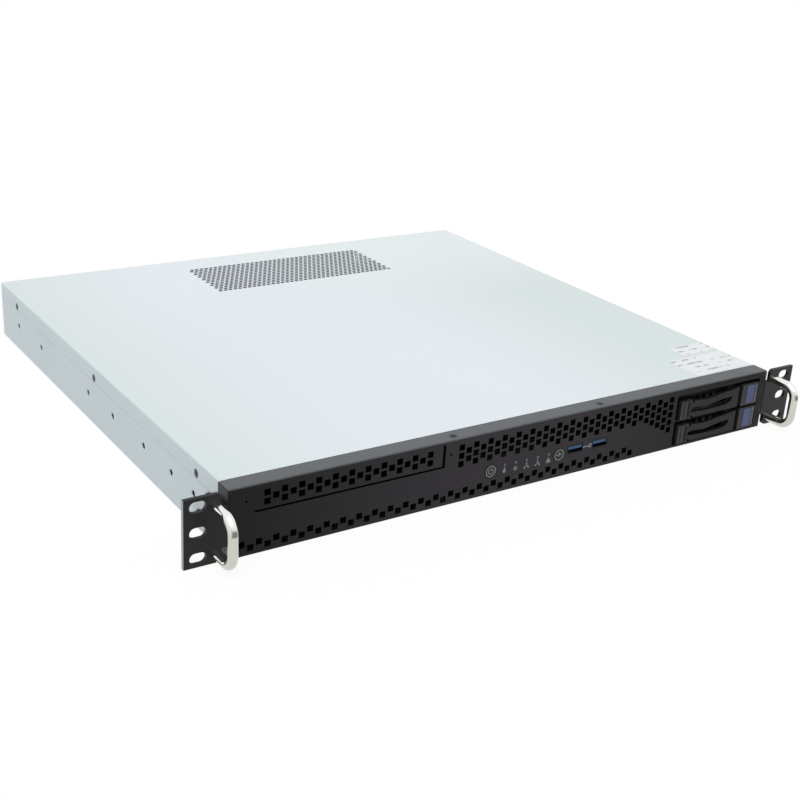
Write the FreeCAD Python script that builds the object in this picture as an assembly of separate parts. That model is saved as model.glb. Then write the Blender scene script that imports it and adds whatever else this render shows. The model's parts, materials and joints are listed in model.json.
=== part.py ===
import FreeCAD, Part
import math
import os

# One-unit rack server: a folded pan and lid, a perforated front bezel with two hot-swap drive
# trays, rack ears with handles, and the parts inside that make it a server.
# Frame: millimetres, +Z up, +X to the right of a person facing the bezel, +Y to the rear.
# The origin is the centre of the pan's underside. "From the front" means behind the bezel's face.

# ---- Case -------------------------------------------------------------------------------------
RACK_WIDTH = 482.6          # over both ears, the 19 inch panel width
HEIGHT = 43.6               # one rack unit less its running gap
DEPTH = 405.0               # bezel face to rear wall
EAR_REACH = 27.6            # pan's side wall to the outer edge of the ear beside it
SHEET = 0.8                 # steel sheet of pan, lid, bezel and brackets
BEND_RADIUS = 1.2           # outside radius of the pan's and the lid's long bends
SEAM_LEVEL = 32.0           # lower edge of the lid's side flanges
SEAM_GAP = 0.2              # open seam under the lid's flanges
SLIP = 0.1                  # play between the lid's flange and the pan's lip
LID_REST_GAP = 0.4          # lid underside to the top edge of lips and rear wall

# ---- Bezel ------------------------------------------------------------------------------------
BEZEL_DEPTH = 12.7          # depth of its top and side returns
BEZEL_RADIUS = 1.7          # outside radius of the fold along its top
BEZEL_SIDE_RADIUS = 0.9     # outside radius down its side edges
BEZEL_SEAM = 0.3            # gap between the bezel's top return and the lid
VENT_HOLE = 4.1             # side of a square vent hole
VENT_PITCH_X = 5.53         # from one column of holes to the next
VENT_PITCH_Z = 5.6          # from one hole to the next in a column
UPPER_VENT_MARGIN = 14.2    # slim bay's cover to the first column of the upper vent
UPPER_VENT_END = 4.0        # plain strip, or a little more, between its last column and the drive bay
UPPER_VENT_TOP = 37.4       # its top row
UPPER_VENT_LOW = 26.2       # its lowest row, ahead of the stepped corner
STEPPED_COLUMNS = 4         # columns that run lower, each by half a pitch more
LOWER_VENT_MARGIN = 8.5     # bezel's left side to the first column of the zigzag strip along the foot
LOWER_VENT_END = 36.0       # plain strip, or a little more, between its last column and the drive bay
LOWER_VENT_Z = 7.3
PILOT_D = 1.6               # two pilot holes beside the slim bay
PILOT_Z = 34.2
PILOT_INSET = 11.3          # bezel's left side to the first
PILOT_GAP = 6.2             # slim bay's cover to the second
FLUSH_SCREW_X = 59.5        # two flush screws in the top return, left and right of centre
FLUSH_SCREW_Y = 5.5         # from the front
TAB_LENGTH = 32.0           # bezel's side tabs inside the pan, from the front
TAB_LOW = 22.0
SIDE_SCREW_Y = 24.6         # button-head screws through the pan into those tabs
SIDE_SCREW_Z = 27.8

# ---- Slim drive bay ---------------------------------------------------------------------------
SLIM_INSET = 16.5           # bezel's left side to the cover plate
SLIM_WIDTH = 127.8
SLIM_LOW = 27.4
SLIM_HIGH = 41.5
SLIM_SIDE_GAP = 2.0         # gap at the cover's right end
SLIM_FOOT_GAP = 1.3         # gap along its lower edge
SLIM_GAP = 0.08             # gap at its left and upper edges
SLIM_VENT_MARGIN = 8.0      # cover's ends to its vent holes
SLIM_VENT_Z = 37.3
SLIM_SET_BACK = 4.0         # bay's walls behind the bezel
SLIM_BAY_DEPTH = 108.0      # length of the bay's shelf
FOOT = 7.0                  # width of the feet of brackets on the pan's floor

# ---- Ears and handles -------------------------------------------------------------------------
EAR_THICKNESS = 2.5
EAR_WEB_WIDTH = 3.5         # bezel's side to the inner edge of the full-height plate
EAR_LOW = 0.4
EAR_HIGH = 43.2
EAR_WEB_LOW = 9.0           # the narrower web beside the bezel
EAR_WEB_HIGH = 35.0
EAR_NOTCH_RADIUS = 3.0
SLOT_PITCH = 15.875         # rack hole pitch
SLOT_INSET = 8.75           # ear's outer edge to the centre of its slots
SLOT_LENGTH = 10.2
SLOT_WIDTH = 6.8
EAR_FLANGE_LENGTH = 42.0    # side flange behind the ear
EAR_FLANGE_SLOPE = 13.5     # where its top edge starts to fall, from the front
EAR_FLANGE_END = 18.0       # height of its rear end
EAR_SCREW_Y = (20.0, 33.0)  # its screws, from the front
EAR_SCREW_Z = 14.5
HANDLE_INSET = 3.8          # inner edge of the plate to the handle's centre line
HANDLE_ROD = 6.2            # diameter
HANDLE_REACH = 21.0         # ear's face to the bar's centre line
HANDLE_LOW = 6.5            # centre lines of its two legs
HANDLE_HIGH = 35.8
HANDLE_BEND = 8.5           # centre line radius of its bends
HANDLE_THREAD_DEPTH = 9.0

# ---- Lid --------------------------------------------------------------------------------------
LID_SCREW_FRONT = 43.0      # from the front; the middle screw is halfway
LID_SCREW_REAR = 38.0       # from the rear
LID_SCREW_Z = 35.2
LID_LIFT_NOTCH = 0.3        # play of the lid screws in the lips' notches
LID_VENT_INSET = 7.5        # main board's left edge to the vent's left edge
LID_VENT_WIDTH = 160.5
LID_VENT_LENGTH = 61.0
LID_VENT_REAR = 25.5        # from the rear
LID_VENT_HOLE = 4.0
LID_VENT_PITCH = 8.0
RAIL_HOLE_FRONT = (47.0, 78.7, 121.0, 172.5, 217.0)     # from the front
RAIL_HOLE_REAR = (92.0, 40.0)                           # from the rear
RAIL_HOLE_Z = 20.2
RAIL_HOLE_D = 4.5

# ---- Fasteners --------------------------------------------------------------------------------
M3 = 3.0
M3_HEAD = 5.6
M3_HEAD_HEIGHT = 1.6
M4 = 4.0
M4_HEAD = 6.6
M4_HEAD_HEIGHT = 2.2
SCREW_GRIP = 3.0            # how far a screw reaches past the sheet that it holds

# ---- Front controls ---------------------------------------------------------------------------
BUTTON_D = 8.0
BUTTON_PLAY = 0.2           # radial play of a button in the bezel
BUTTON_PROUD = 0.5
BUTTON_FLANGE = 10.4        # diameter of the flange behind the bezel
BUTTON_STEM = 3.0
BUTTON_TRAVEL = 1.0
POWER_ALONG = 37.8          # from the slim bay's cover to the right, as all the controls
ID_ALONG = 93.3
BUTTON_Z = 16.3
LIGHT_ALONG = (49.0, 58.0, 66.8, 75.9, 84.9)
LIGHT_Z = 18.2
LIGHT_D = 2.0
USB_ALONG = (107.35, 128.45)
USB_Z = 17.7
USB_WIDTH = 13.2
USB_HEIGHT = 5.9
USB_SHELL = 0.4
USB_PLAY = 0.3
USB_REACH = 6.0             # mouth to the moulding at its back
CONTROL_BOARD_Y = 14.5      # front face of the small circuit board, from the front
CONTROL_BOARD_ALONG = 28.2
CONTROL_BOARD_LENGTH = 112.0
CONTROL_BOARD_Z = (9.0, 25.0)
CIRCUIT_BOARD = 1.6         # thickness of every circuit board
BOARD_SPACER = 2.0          # control board to its bracket

# ---- Hot-swap drives --------------------------------------------------------------------------
BAY_WIDTH = 81.0            # opening in the bezel
BAY_INSET = 7.0             # its right edge to the bezel's right side
BAY_LOW = 1.6               # strip left under the opening
BAY_HIGH = 39.0
CAGE_DEPTH = 118.8
CAGE_ROOF = 40.6
TRAY_INSET = 3.9            # opening's left edge to the trays
TRAY_WIDTH = 75.6
TRAY_HEIGHT = 16.0
TRAY_LEVELS = {"lower": 2.3, "upper": 20.3}
TRAY_LENGTH = 112.0
TRAY_PROUD = 0.8            # tray's moulded front ahead of the bezel
TRAY_FRONT_DEPTH = 8.0      # depth of the moulded front behind the bezel's face
RUNNER_GAP = 0.3            # tray above the runner that carries it
END_CAP = 6.0               # width of the tray's left end cap
END_CAP_RISE = 0.84         # its height over the tray's
LEVER_LENGTH = 50.2         # from the end cap
LEVER_THICKNESS = 2.6
LEVER_GAP = 0.3
LEVER_KNUCKLE = 2.7         # radius round the lever's pin
# Edges of the lever, as shares of its length from the left and of the tray's height.
LEVER_CREST = ((0.0, 0.82), (0.12, 0.81), (0.35, 0.755), (0.64, 0.845), (0.81, 0.90), (1.0, 0.98))
WINDOW_TOP = ((0.05, 0.41), (0.12, 0.475), (0.33, 0.445), (0.50, 0.485), (0.66, 0.56), (0.87, 0.59))
WINDOW_FOOT = ((0.05, 0.29), (0.35, 0.245), (0.62, 0.25), (0.76, 0.285), (0.84, 0.37), (0.87, 0.48))
PIN_D = 2.0
PIN_PLAY = 0.05             # radial
LUG = 1.4                   # thickness of the lugs that hold the pin
LATCH_BLOCK = 60.0          # tray's left edge to the latch block
LATCH_LEFT = 64.4           # tray's left edge to the latch button
LATCH_WIDTH = 7.8
LATCH_MARGIN = 1.2          # latch button below the tray's top and above its foot
LATCH_PLAY = 0.2
LIGHT_BAR = 1.6             # width of the tray's light pipe
DRIVE_WIDTH = 69.85         # 2.5 inch drive
DRIVE_LENGTH = 100.2
DRIVE_HEIGHT = 9.5
DRIVE_START = 12.4          # from the front
TRAY_FLOOR = 1.2

# ---- Fans -------------------------------------------------------------------------------------
FAN_SIZE = 40.0
FAN_DEPTH = 28.0
FAN_BORE = 38.0
FAN_HUB = 21.0
FAN_BLADES = 5
BLADE = 0.6                 # half thickness of a blade along its slant
FAN_SHAFT = 3.0
FAN_TIP_GAP = 0.6
FAN_ROW_ALONG = (45.0, 93.0, 141.0)     # from the main board's left edge, as all that follows
FAN_NAMES = ("left", "middle", "right")
FAN_ROW_GAP = 1.2           # fan channel to the main board's front edge

# ---- Main board and what stands on it ---------------------------------------------------------
BOARD_SIZE = 244.0
BOARD_ASIDE = -2.65         # board's middle from the middle of the space beside the power supply
BOARD_HOLE_INSET = 6.4      # fixing holes in from the board's edges
BOARD_HOLE_ALONG = 112.2    # middle column, from the left edge
BOARD_HOLE_BACK = 90.3      # middle row, from the front edge
BOARD_REAR_GAP = 1.4        # main board to the inside of the rear wall
STANDOFF = 6.3
STANDOFF_D = 6.0
SOCKET_SIZE = 60.0
SOCKET_HEIGHT = 4.0
SOCKET_ALONG = 88.0
SOCKET_REAR = 70.0          # rear wall to the socket's centre
SINK_SIZE = 84.0
SINK_HEIGHT = 26.0
SINK_BASE = 4.0
SINK_FINS = 17
FIN = 1.0
CHIP_SINK_SIZE = 40.0
CHIP_SINK_HEIGHT = 12.0
CHIP_SINK_FINS = 8
CHIP_SINK_ALONG = 40.0
CHIP_SINK_BACK = 66.0       # from the board's front edge
MEMORY_SLOTS = 4
MEMORY_ALONG = 149.0        # first memory slot
MEMORY_PITCH = 10.0
MEMORY_WIDTH = 6.4
MEMORY_LENGTH = 142.0
MEMORY_HEIGHT = 7.0
MEMORY_BACK = 13.4          # board's front edge to the slots
MEMORY_END = 4.0            # length of a slot's end clips
MEMORY_END_HEIGHT = 18.0
MODULE_LEVEL = 2.5          # foot of a module above the board
MODULE_LENGTH = 133.4
CLIP = 2.0                  # how far a module's ends reach into the slot's end clips
MODULE_HEIGHT = 30.0
MODULE_THICKNESS = 1.3
CONNECTOR_BACK = 5.0        # board's front edge to the sockets beside it
POWER_SOCKETS = ((14.0, 52.0), (80.0, 18.0))    # from the board's left edge, and length
POWER_SOCKET_DEPTH = 10.0
POWER_SOCKET_HEIGHT = 12.0
DATA_SOCKET_WIDTH = 11.0
DATA_SOCKET_DEPTH = 8.0
DATA_SOCKET_HEIGHT = 7.0
SOCKET_SPACE = 3.0          # between data sockets
MEMORY_SPACE = 8.0          # memory to the first data socket
BATTERY_D = 20.0
BATTERY_HEIGHT = 5.0
BATTERY_ALONG = 96.0
BATTERY_BACK = 52.0

# ---- Rear -------------------------------------------------------------------------------------
IO_ALONG = 8.6
IO_CARD_GAP = 15.6          # port plate to the expansion opening
IO_LOW = 4.0
IO_HIGH = 40.5
JACK_ALONG = (97.0, 124.0)
JACK_WIDTH = 16.0
JACK_HEIGHT = 13.6
JACK_DEPTH = 21.0
JACK_MOUTH = 11.8
JACK_MOUTH_HEIGHT = 8.4
JACK_MOUTH_DEPTH = 13.0
REAR_USB_ALONG = (65.0, 81.0)
REAR_USB_STACK = 15.6
VIDEO_ALONG = 37.0
VIDEO_WIDTH = 30.8
VIDEO_HEIGHT = 12.6
CARD_WIDTH = 86.0           # expansion opening in the rear wall
CARD_INSET = 16.9           # its right edge to the side wall
CARD_LOW = 20.0
CARD_HIGH = 36.0
CARD_RIM = 3.0              # slot cover round the opening
RISER_INSET = 18.0          # opening's left edge to the riser card
RISER_LENGTH = 68.0
RISER_BACK = 14.0           # riser to the rear wall
RISER_SOCKET_WIDTH = 7.0
RISER_SOCKET_HEIGHT = 8.0
PSU_INSET = 3.3             # side wall to the power supply
PSU_WIDTH = 100.0
PSU_HEIGHT = 41.4
PSU_LENGTH = 190.0
PSU_SHEET = 0.6
PSU_FAN_INSET = 23.6        # supply's left side to the fan's axis
PSU_FAN_DEPTH = 20.0
PSU_RIM = 3.6               # rear wall left round the power supply
INLET_INSET = 75.6          # supply's left side to the inlet's middle
INLET_Z = 20.0
INLET_WIDTH = 27.0
INLET_HEIGHT = 19.6
INLET_DEPTH = 20.0
INLET_RIM = 1.6

# ---- Worked out from the above ----------------------------------------------------------------
FRONT = -DEPTH / 2
REAR = DEPTH / 2
BODY_WIDTH = RACK_WIDTH - 2 * EAR_REACH
HALF = BODY_WIDTH / 2
FLOOR = SHEET
LID_UNDER = HEIGHT - SHEET
LIP_TOP = LID_UNDER - LID_REST_GAP
LIP_OUTER = HALF - SHEET - SLIP
WALL_INNER = HALF - SHEET
BEZEL_HALF = HALF + SHEET
BEZEL_BACK = FRONT + SHEET
BEZEL_CLEAR = FRONT + BEZEL_RADIUS
LID_FRONT = FRONT + BEZEL_DEPTH + BEZEL_SEAM
REAR_INNER = REAR - SHEET
EAR_INNER_X = BEZEL_HALF + EAR_WEB_WIDTH
SLOT_X = RACK_WIDTH / 2 - SLOT_INSET
SLOT_LEVELS = [HEIGHT / 2 + step * SLOT_PITCH for step in (-1, 0, 1)]
HANDLE_X = EAR_INNER_X + HANDLE_INSET
LID_SCREW_Y = (LID_SCREW_FRONT, (LID_SCREW_FRONT + DEPTH - LID_SCREW_REAR) / 2, DEPTH - LID_SCREW_REAR)
RAIL_HOLE_Y = RAIL_HOLE_FRONT + tuple(DEPTH - y for y in RAIL_HOLE_REAR)
SLIM_LEFT = -BEZEL_HALF + SLIM_INSET
SLIM_RIGHT = SLIM_LEFT + SLIM_WIDTH
POWER_X = SLIM_RIGHT + POWER_ALONG
ID_X = SLIM_RIGHT + ID_ALONG
LIGHT_X = [SLIM_RIGHT + along for along in LIGHT_ALONG]
USB_X = [SLIM_RIGHT + along for along in USB_ALONG]
CONTROL_LEFT = SLIM_RIGHT + CONTROL_BOARD_ALONG
CONTROL_RIGHT = CONTROL_LEFT + CONTROL_BOARD_LENGTH
CONTROL_FACE = FRONT + CONTROL_BOARD_Y
CONTROL_BACK = CONTROL_FACE + CIRCUIT_BOARD
CONTROL_PLATE = CONTROL_BACK + BOARD_SPACER
BAY_RIGHT = BEZEL_HALF - BAY_INSET
BAY_LEFT = BAY_RIGHT - BAY_WIDTH
TRAY_LEFT = BAY_LEFT + TRAY_INSET
TRAY_RIGHT = TRAY_LEFT + TRAY_WIDTH
PIN_X = TRAY_LEFT + END_CAP + LEVER_GAP + LEVER_KNUCKLE
PIN_Y = FRONT - TRAY_PROUD + LEVER_KNUCKLE
CAGE_LEFT = BAY_LEFT
CAGE_RIGHT = BAY_RIGHT + SHEET
BACKPLANE_Y = FRONT + CAGE_DEPTH
DRIVE_LEFT = TRAY_LEFT + (TRAY_WIDTH - DRIVE_WIDTH) / 2
PSU_LEFT = -WALL_INNER + PSU_INSET
PSU_RIGHT = PSU_LEFT + PSU_WIDTH
PSU_FRONT = REAR_INNER - PSU_LENGTH
PSU_FAN_X = PSU_LEFT + PSU_FAN_INSET
INLET_X = PSU_LEFT + INLET_INSET
BOARD_LEFT = (PSU_RIGHT + WALL_INNER - BOARD_SIZE) / 2 + BOARD_ASIDE
BOARD_RIGHT = BOARD_LEFT + BOARD_SIZE
BOARD_REAR = REAR_INNER - BOARD_REAR_GAP
BOARD_FRONT = BOARD_REAR - BOARD_SIZE
BOARD_LOW = FLOOR + STANDOFF
BOARD_TOP = BOARD_LOW + CIRCUIT_BOARD
SOCKET_X = BOARD_LEFT + SOCKET_ALONG
MEMORY_X = BOARD_LEFT + MEMORY_ALONG
MEMORY_FRONT = BOARD_FRONT + MEMORY_BACK
FAN_ROW_X = [BOARD_LEFT + along for along in FAN_ROW_ALONG]
FAN_BACK = BOARD_FRONT - FAN_ROW_GAP - SHEET
FAN_FRONT = FAN_BACK - FAN_DEPTH
FAN_MIDDLE = FLOOR + SHEET + FAN_SIZE / 2
LID_VENT_LEFT = BOARD_LEFT + LID_VENT_INSET
CARD_RIGHT = WALL_INNER - CARD_INSET
CARD_LEFT = CARD_RIGHT - CARD_WIDTH
RISER_X = CARD_LEFT + RISER_INSET
IO_LEFT = BOARD_LEFT + IO_ALONG
IO_RIGHT = CARD_LEFT - IO_CARD_GAP
JACK_X = [BOARD_LEFT + along for along in JACK_ALONG]
REAR_USB_X = [BOARD_LEFT + along for along in REAR_USB_ALONG]
VIDEO_X = BOARD_LEFT + VIDEO_ALONG


# ---- Small tools ------------------------------------------------------------------------------
def vector(x, y, z):
    return FreeCAD.Vector(x, y, z)


def box(x0, x1, y0, y1, z0, z1):
    """A block between two corners."""
    return Part.makeBox(x1 - x0, y1 - y0, z1 - z0, vector(x0, y0, z0))


def rod_x(diameter, x0, x1, y, z):
    """A round bar along X."""
    return Part.makeCylinder(diameter / 2, x1 - x0, vector(x0, y, z), vector(1, 0, 0))


def rod_y(diameter, y0, y1, x, z):
    """A round bar along Y."""
    return Part.makeCylinder(diameter / 2, y1 - y0, vector(x, y0, z), vector(0, 1, 0))


def rod_z(diameter, z0, z1, x, y):
    """A round bar along Z."""
    return Part.makeCylinder(diameter / 2, z1 - z0, vector(x, y, z0), vector(0, 0, 1))


def sweep_outline(points, travel):
    """A closed outline of straight edges, pushed along one vector."""
    return Part.Face(Part.makePolygon(points + points[:1])).extrude(travel)


def outline_xz(pairs, y0, y1):
    """An outline drawn in X and Z, pushed along Y."""
    return sweep_outline([vector(x, y0, z) for x, z in pairs], vector(0, y1 - y0, 0))


def outline_xy(pairs, z0, z1):
    """An outline drawn in X and Y, pushed along Z."""
    return sweep_outline([vector(x, y, z0) for x, y in pairs], vector(0, 0, z1 - z0))


def outline_yz(pairs, x0, x1):
    """An outline drawn in Y and Z, pushed along X."""
    return sweep_outline([vector(x0, y, z) for y, z in pairs], vector(x1 - x0, 0, 0))


def fuse(shapes):
    """One solid from pieces that touch or overlap."""
    return shapes[0].multiFuse(shapes[1:]).removeSplitter()


def group(shapes):
    """Separate solids that share a node."""
    return Part.makeCompound(shapes)


def mirrored(shape):
    """The same shape on the other side of the middle."""
    return shape.mirror(vector(0, 0, 0), vector(1, 0, 0))


def near(a, b):
    return abs(a - b) < 1e-4


def rounded(shape, radius, wanted):
    """Round the edges whose middle point passes the test."""
    return shape.makeFillet(radius, [edge for edge in shape.Edges if wanted(edge.BoundBox.Center)])


def bevelled(shape, size, wanted):
    """Bevel the edges whose middle point passes the test."""
    return shape.makeChamfer(size, [edge for edge in shape.Edges if wanted(edge.BoundBox.Center)])


def slot_y(length, width, y0, y1, x, z):
    """An obround bar along Y, its long side along X."""
    reach = (length - width) / 2
    middle = box(x - reach, x + reach, y0, y1, z - width / 2, z + width / 2)
    return fuse([middle, rod_y(width, y0, y1, x - reach, z), rod_y(width, y0, y1, x + reach, z)])


def comb(width, depth, base, height, fins, x, y, z):
    """A heat sink: a base plate with upright fins that run along Y."""
    pitch = (width - FIN) / (fins - 1)
    left = x - width / 2
    outline = [(left, z), (left + width, z)]
    for step in reversed(range(fins)):
        start = left + step * pitch
        outline += [(start + FIN, z + height), (start, z + height)]
        if step:
            outline += [(start, z + base), (start - pitch + FIN, z + base)]
    return outline_xz(outline, y - depth / 2, y + depth / 2)


# ---- Case -------------------------------------------------------------------------------------
def pan_profile():
    """Half of the pan's section: floor, side wall and the lip that steps in under the lid."""
    step = SEAM_LEVEL - SEAM_GAP
    lip_inner = LIP_OUTER - SHEET
    return [(HALF, 0), (HALF, step), (LIP_OUTER, step), (LIP_OUTER, LIP_TOP), (lip_inner, LIP_TOP),
            (lip_inner, step - SHEET), (WALL_INNER, step - SHEET), (WALL_INNER, FLOOR)]


def base_pan():
    right = pan_profile()
    left = [(-x, z) for x, z in reversed(right)]
    pan = outline_xz(left + right, BEZEL_CLEAR, REAR)
    pan = rounded(pan, BEND_RADIUS, lambda p: near(abs(p.x), HALF) and near(p.z, 0))
    rear_wall = box(-WALL_INNER, WALL_INNER, REAR_INNER, REAR, FLOOR, SEAM_LEVEL - SEAM_GAP - SHEET)
    upper_wall = box(-LIP_OUTER + SHEET, LIP_OUTER - SHEET, REAR_INNER, REAR, FLOOR, LIP_TOP)
    apron = box(-HALF + BEZEL_RADIUS, HALF - BEZEL_RADIUS, BEZEL_BACK, BEZEL_CLEAR, 0, FLOOR)
    pan = fuse([pan, rear_wall, upper_wall, apron])
    return pan.cut(rear_cutouts() + side_cutouts())


def rear_cutouts():
    """Openings in the rear wall for the ports, the expansion card and the power supply."""
    def window(x0, x1, z0, z1):
        return box(x0, x1, REAR_INNER - 1, REAR + 1, z0, z1)
    return [window(IO_LEFT, IO_RIGHT, IO_LOW, IO_HIGH),
            window(CARD_LEFT, CARD_RIGHT, CARD_LOW, CARD_HIGH),
            window(PSU_LEFT + PSU_RIM, PSU_RIGHT - PSU_RIM, FLOOR + PSU_RIM,
                   FLOOR + PSU_HEIGHT - PSU_RIM)]


def side_cutouts():
    """Rail holes, screw holes and the notches that the lid's screws drop into, on both sides."""
    cuts = []
    notch = M3 / 2 + LID_LIFT_NOTCH
    for y in RAIL_HOLE_Y:
        cuts.append(rod_x(RAIL_HOLE_D, -HALF - 1, HALF + 1, FRONT + y, RAIL_HOLE_Z))
    for y in EAR_SCREW_Y:
        cuts.append(rod_x(M3, -HALF - 1, HALF + 1, FRONT + y, EAR_SCREW_Z))
    cuts.append(rod_x(M4, -HALF - 1, HALF + 1, FRONT + SIDE_SCREW_Y, SIDE_SCREW_Z))
    for y in LID_SCREW_Y:
        middle = FRONT + y
        cuts.append(box(-HALF, HALF, middle - notch, middle + notch, LID_SCREW_Z - notch, LIP_TOP + 1))
    return cuts


def top_cover():
    def long_edge(p):
        return near(abs(p.x), HALF) and near(p.z, HEIGHT)
    outer = rounded(box(-HALF, HALF, LID_FRONT, REAR, SEAM_LEVEL, HEIGHT), BEND_RADIUS, long_edge)
    inside = box(-WALL_INNER, WALL_INNER, LID_FRONT - 1, REAR + 1, SEAM_LEVEL - 1, LID_UNDER)
    holes = [countersink(side, FRONT + y, LID_SCREW_Z) for side in (-1, 1) for y in LID_SCREW_Y]
    return outer.cut([inside] + holes + lid_vent_holes())


def countersink(side, y, z):
    """The cone of a flush screw head, as deep as the lid's sheet."""
    return Part.makeCone(M3_HEAD / 2, M3 / 2, SHEET, vector(side * HALF, y, z), vector(-side, 0, 0))


def lid_vent_holes():
    """Rows of square holes, every other row shifted by half a pitch."""
    row_pitch = LID_VENT_PITCH * math.sqrt(3) / 2
    columns = int((LID_VENT_WIDTH - LID_VENT_HOLE) / LID_VENT_PITCH) + 1
    rows = int((LID_VENT_LENGTH - LID_VENT_HOLE) / row_pitch) + 1
    spare_width = LID_VENT_WIDTH - LID_VENT_HOLE - (columns - 1) * LID_VENT_PITCH
    spare_length = LID_VENT_LENGTH - LID_VENT_HOLE - (rows - 1) * row_pitch
    left = LID_VENT_LEFT + spare_width / 2
    front = REAR - LID_VENT_REAR - LID_VENT_LENGTH + spare_length / 2
    holes = []
    for row in range(rows):
        shift = row % 2
        for column in range(columns - shift):
            x = left + (column + shift / 2) * LID_VENT_PITCH
            y = front + row * row_pitch
            holes.append(box(x, x + LID_VENT_HOLE, y, y + LID_VENT_HOLE, LID_UNDER - 1, HEIGHT + 1))
    return holes


def cover_screws():
    """Flush screws through the lid's flanges into the lips' notches."""
    screws = []
    for side in (-1, 1):
        for y in LID_SCREW_Y:
            start = side * (HALF - SHEET)
            shank = rod_x(M3, min(start, start - side * SCREW_GRIP), max(start, start - side * SCREW_GRIP),
                          FRONT + y, LID_SCREW_Z)
            screws.append(fuse([countersink(side, FRONT + y, LID_SCREW_Z), shank]))
    return group(screws)


# ---- Bezel ------------------------------------------------------------------------------------
def vent_column(x, top, low):
    """Square holes one under another in a column, from the top row down to the low limit."""
    holes = []
    z = top
    while z > low - VENT_PITCH_Z / 4:
        half = VENT_HOLE / 2
        holes.append(box(x - half, x + half, FRONT - 1, BEZEL_BACK + 1, z - half, z + half))
        z -= VENT_PITCH_Z
    return holes


def bezel_vents():
    """The upper vent with its stepped right-hand corner, and the zigzag strip along the foot."""
    half_pitch = VENT_PITCH_Z / 2
    upper = SLIM_RIGHT + UPPER_VENT_MARGIN
    lower = -BEZEL_HALF + LOWER_VENT_MARGIN
    columns = int((BAY_LEFT - UPPER_VENT_END - upper) / VENT_PITCH_X) + 1
    holes = []
    for column in range(columns):
        stepped = max(0, column - (columns - STEPPED_COLUMNS - 1))
        x = upper + column * VENT_PITCH_X
        top = UPPER_VENT_TOP - (column % 2) * half_pitch
        holes += vent_column(x, top, UPPER_VENT_LOW - stepped * half_pitch)
    for column in range(int((BAY_LEFT - LOWER_VENT_END - lower) / VENT_PITCH_X) + 1):
        z = LOWER_VENT_Z - (column % 2) * half_pitch
        holes += vent_column(lower + column * VENT_PITCH_X, z, z)
    return holes


def bezel_openings():
    """Windows for the slim bay, the drive trays, the buttons, the lights and the USB ports."""
    y0, y1 = FRONT - 1, BEZEL_BACK + 1
    button_hole = BUTTON_D + 2 * BUTTON_PLAY
    cuts = [box(SLIM_LEFT - SLIM_GAP, SLIM_RIGHT + SLIM_SIDE_GAP, y0, y1, SLIM_LOW - SLIM_FOOT_GAP,
                SLIM_HIGH + SLIM_GAP),
            box(BAY_LEFT, BAY_RIGHT, y0, y1, BAY_LOW, BAY_HIGH),
            rod_y(PILOT_D, y0, y1, -BEZEL_HALF + PILOT_INSET, PILOT_Z),
            rod_y(PILOT_D, y0, y1, SLIM_RIGHT + PILOT_GAP, PILOT_Z),
            rod_y(button_hole, y0, y1, POWER_X, BUTTON_Z),
            rod_y(button_hole, y0, y1, ID_X, BUTTON_Z)]
    cuts += [rod_y(LIGHT_D + SLIP, y0, y1, x, LIGHT_Z) for x in LIGHT_X]
    half_width = USB_WIDTH / 2 + USB_PLAY
    half_height = USB_HEIGHT / 2 + USB_PLAY
    for x in USB_X:
        cuts.append(box(x - half_width, x + half_width, y0, y1, USB_Z - half_height, USB_Z + half_height))
    return cuts


def bezel_block(half, y0, y1, z0, z1, radius):
    """A block rounded along the top edge of its front face."""
    return rounded(box(-half, half, y0, y1, z0, z1), radius, lambda p: near(p.y, y0) and near(p.z, z1))


def front_bezel():
    outer = bezel_block(BEZEL_HALF, FRONT, FRONT + BEZEL_DEPTH, 0, HEIGHT, BEZEL_RADIUS)
    outer = rounded(outer, BEZEL_SIDE_RADIUS, lambda p: near(abs(p.x), BEZEL_HALF) and near(p.y, FRONT))
    inner = bezel_block(HALF, BEZEL_BACK, FRONT + BEZEL_DEPTH + 1, -1, LID_UNDER, BEZEL_RADIUS - SHEET)
    shell = outer.cut(inner)
    tab_high = SEAM_LEVEL - SEAM_GAP - SHEET - SLIP
    tab = box(WALL_INNER - SLIP - SHEET, WALL_INNER - SLIP, BEZEL_BACK, FRONT + TAB_LENGTH, TAB_LOW, tab_high)
    tab = tab.cut(rod_x(M4, HALF - 5, HALF + 5, FRONT + SIDE_SCREW_Y, SIDE_SCREW_Z))
    shell = fuse([shell, tab, mirrored(tab)])
    flush = [flush_cone(side * FLUSH_SCREW_X) for side in (-1, 1)]
    return shell.cut(bezel_vents() + bezel_openings() + flush)


def flush_cone(x):
    """The cone of a flush screw head in the bezel's top return."""
    return Part.makeCone(M3 / 2, M3_HEAD / 2, SHEET, vector(x, FRONT + FLUSH_SCREW_Y, LID_UNDER),
                         vector(0, 0, 1))


def bezel_screws():
    """Two flush screws down into the front rail and a button-head screw through each side wall."""
    screws = []
    for side in (-1, 1):
        x = side * FLUSH_SCREW_X
        shank = rod_z(M3, LID_UNDER - SCREW_GRIP, LID_UNDER, x, FRONT + FLUSH_SCREW_Y)
        screws.append(fuse([flush_cone(x), shank]))
    screws += side_screws(M4, M4_HEAD, M4_HEAD_HEIGHT, HALF, SIDE_SCREW_Y, SIDE_SCREW_Z)
    return group(screws)


def side_screws(shank, head, head_height, seat, y, z):
    """A pan-head screw through the right side wall and its mirror image on the left."""
    stem = rod_x(shank, HALF - SHEET - SCREW_GRIP, seat, FRONT + y, z)
    top = rod_x(head, seat, seat + head_height, FRONT + y, z)
    rim = seat + head_height
    top = bevelled(top, head_height / 3, lambda p: near(p.x, rim))
    screw = fuse([stem, top])
    return [screw, mirrored(screw)]


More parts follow.
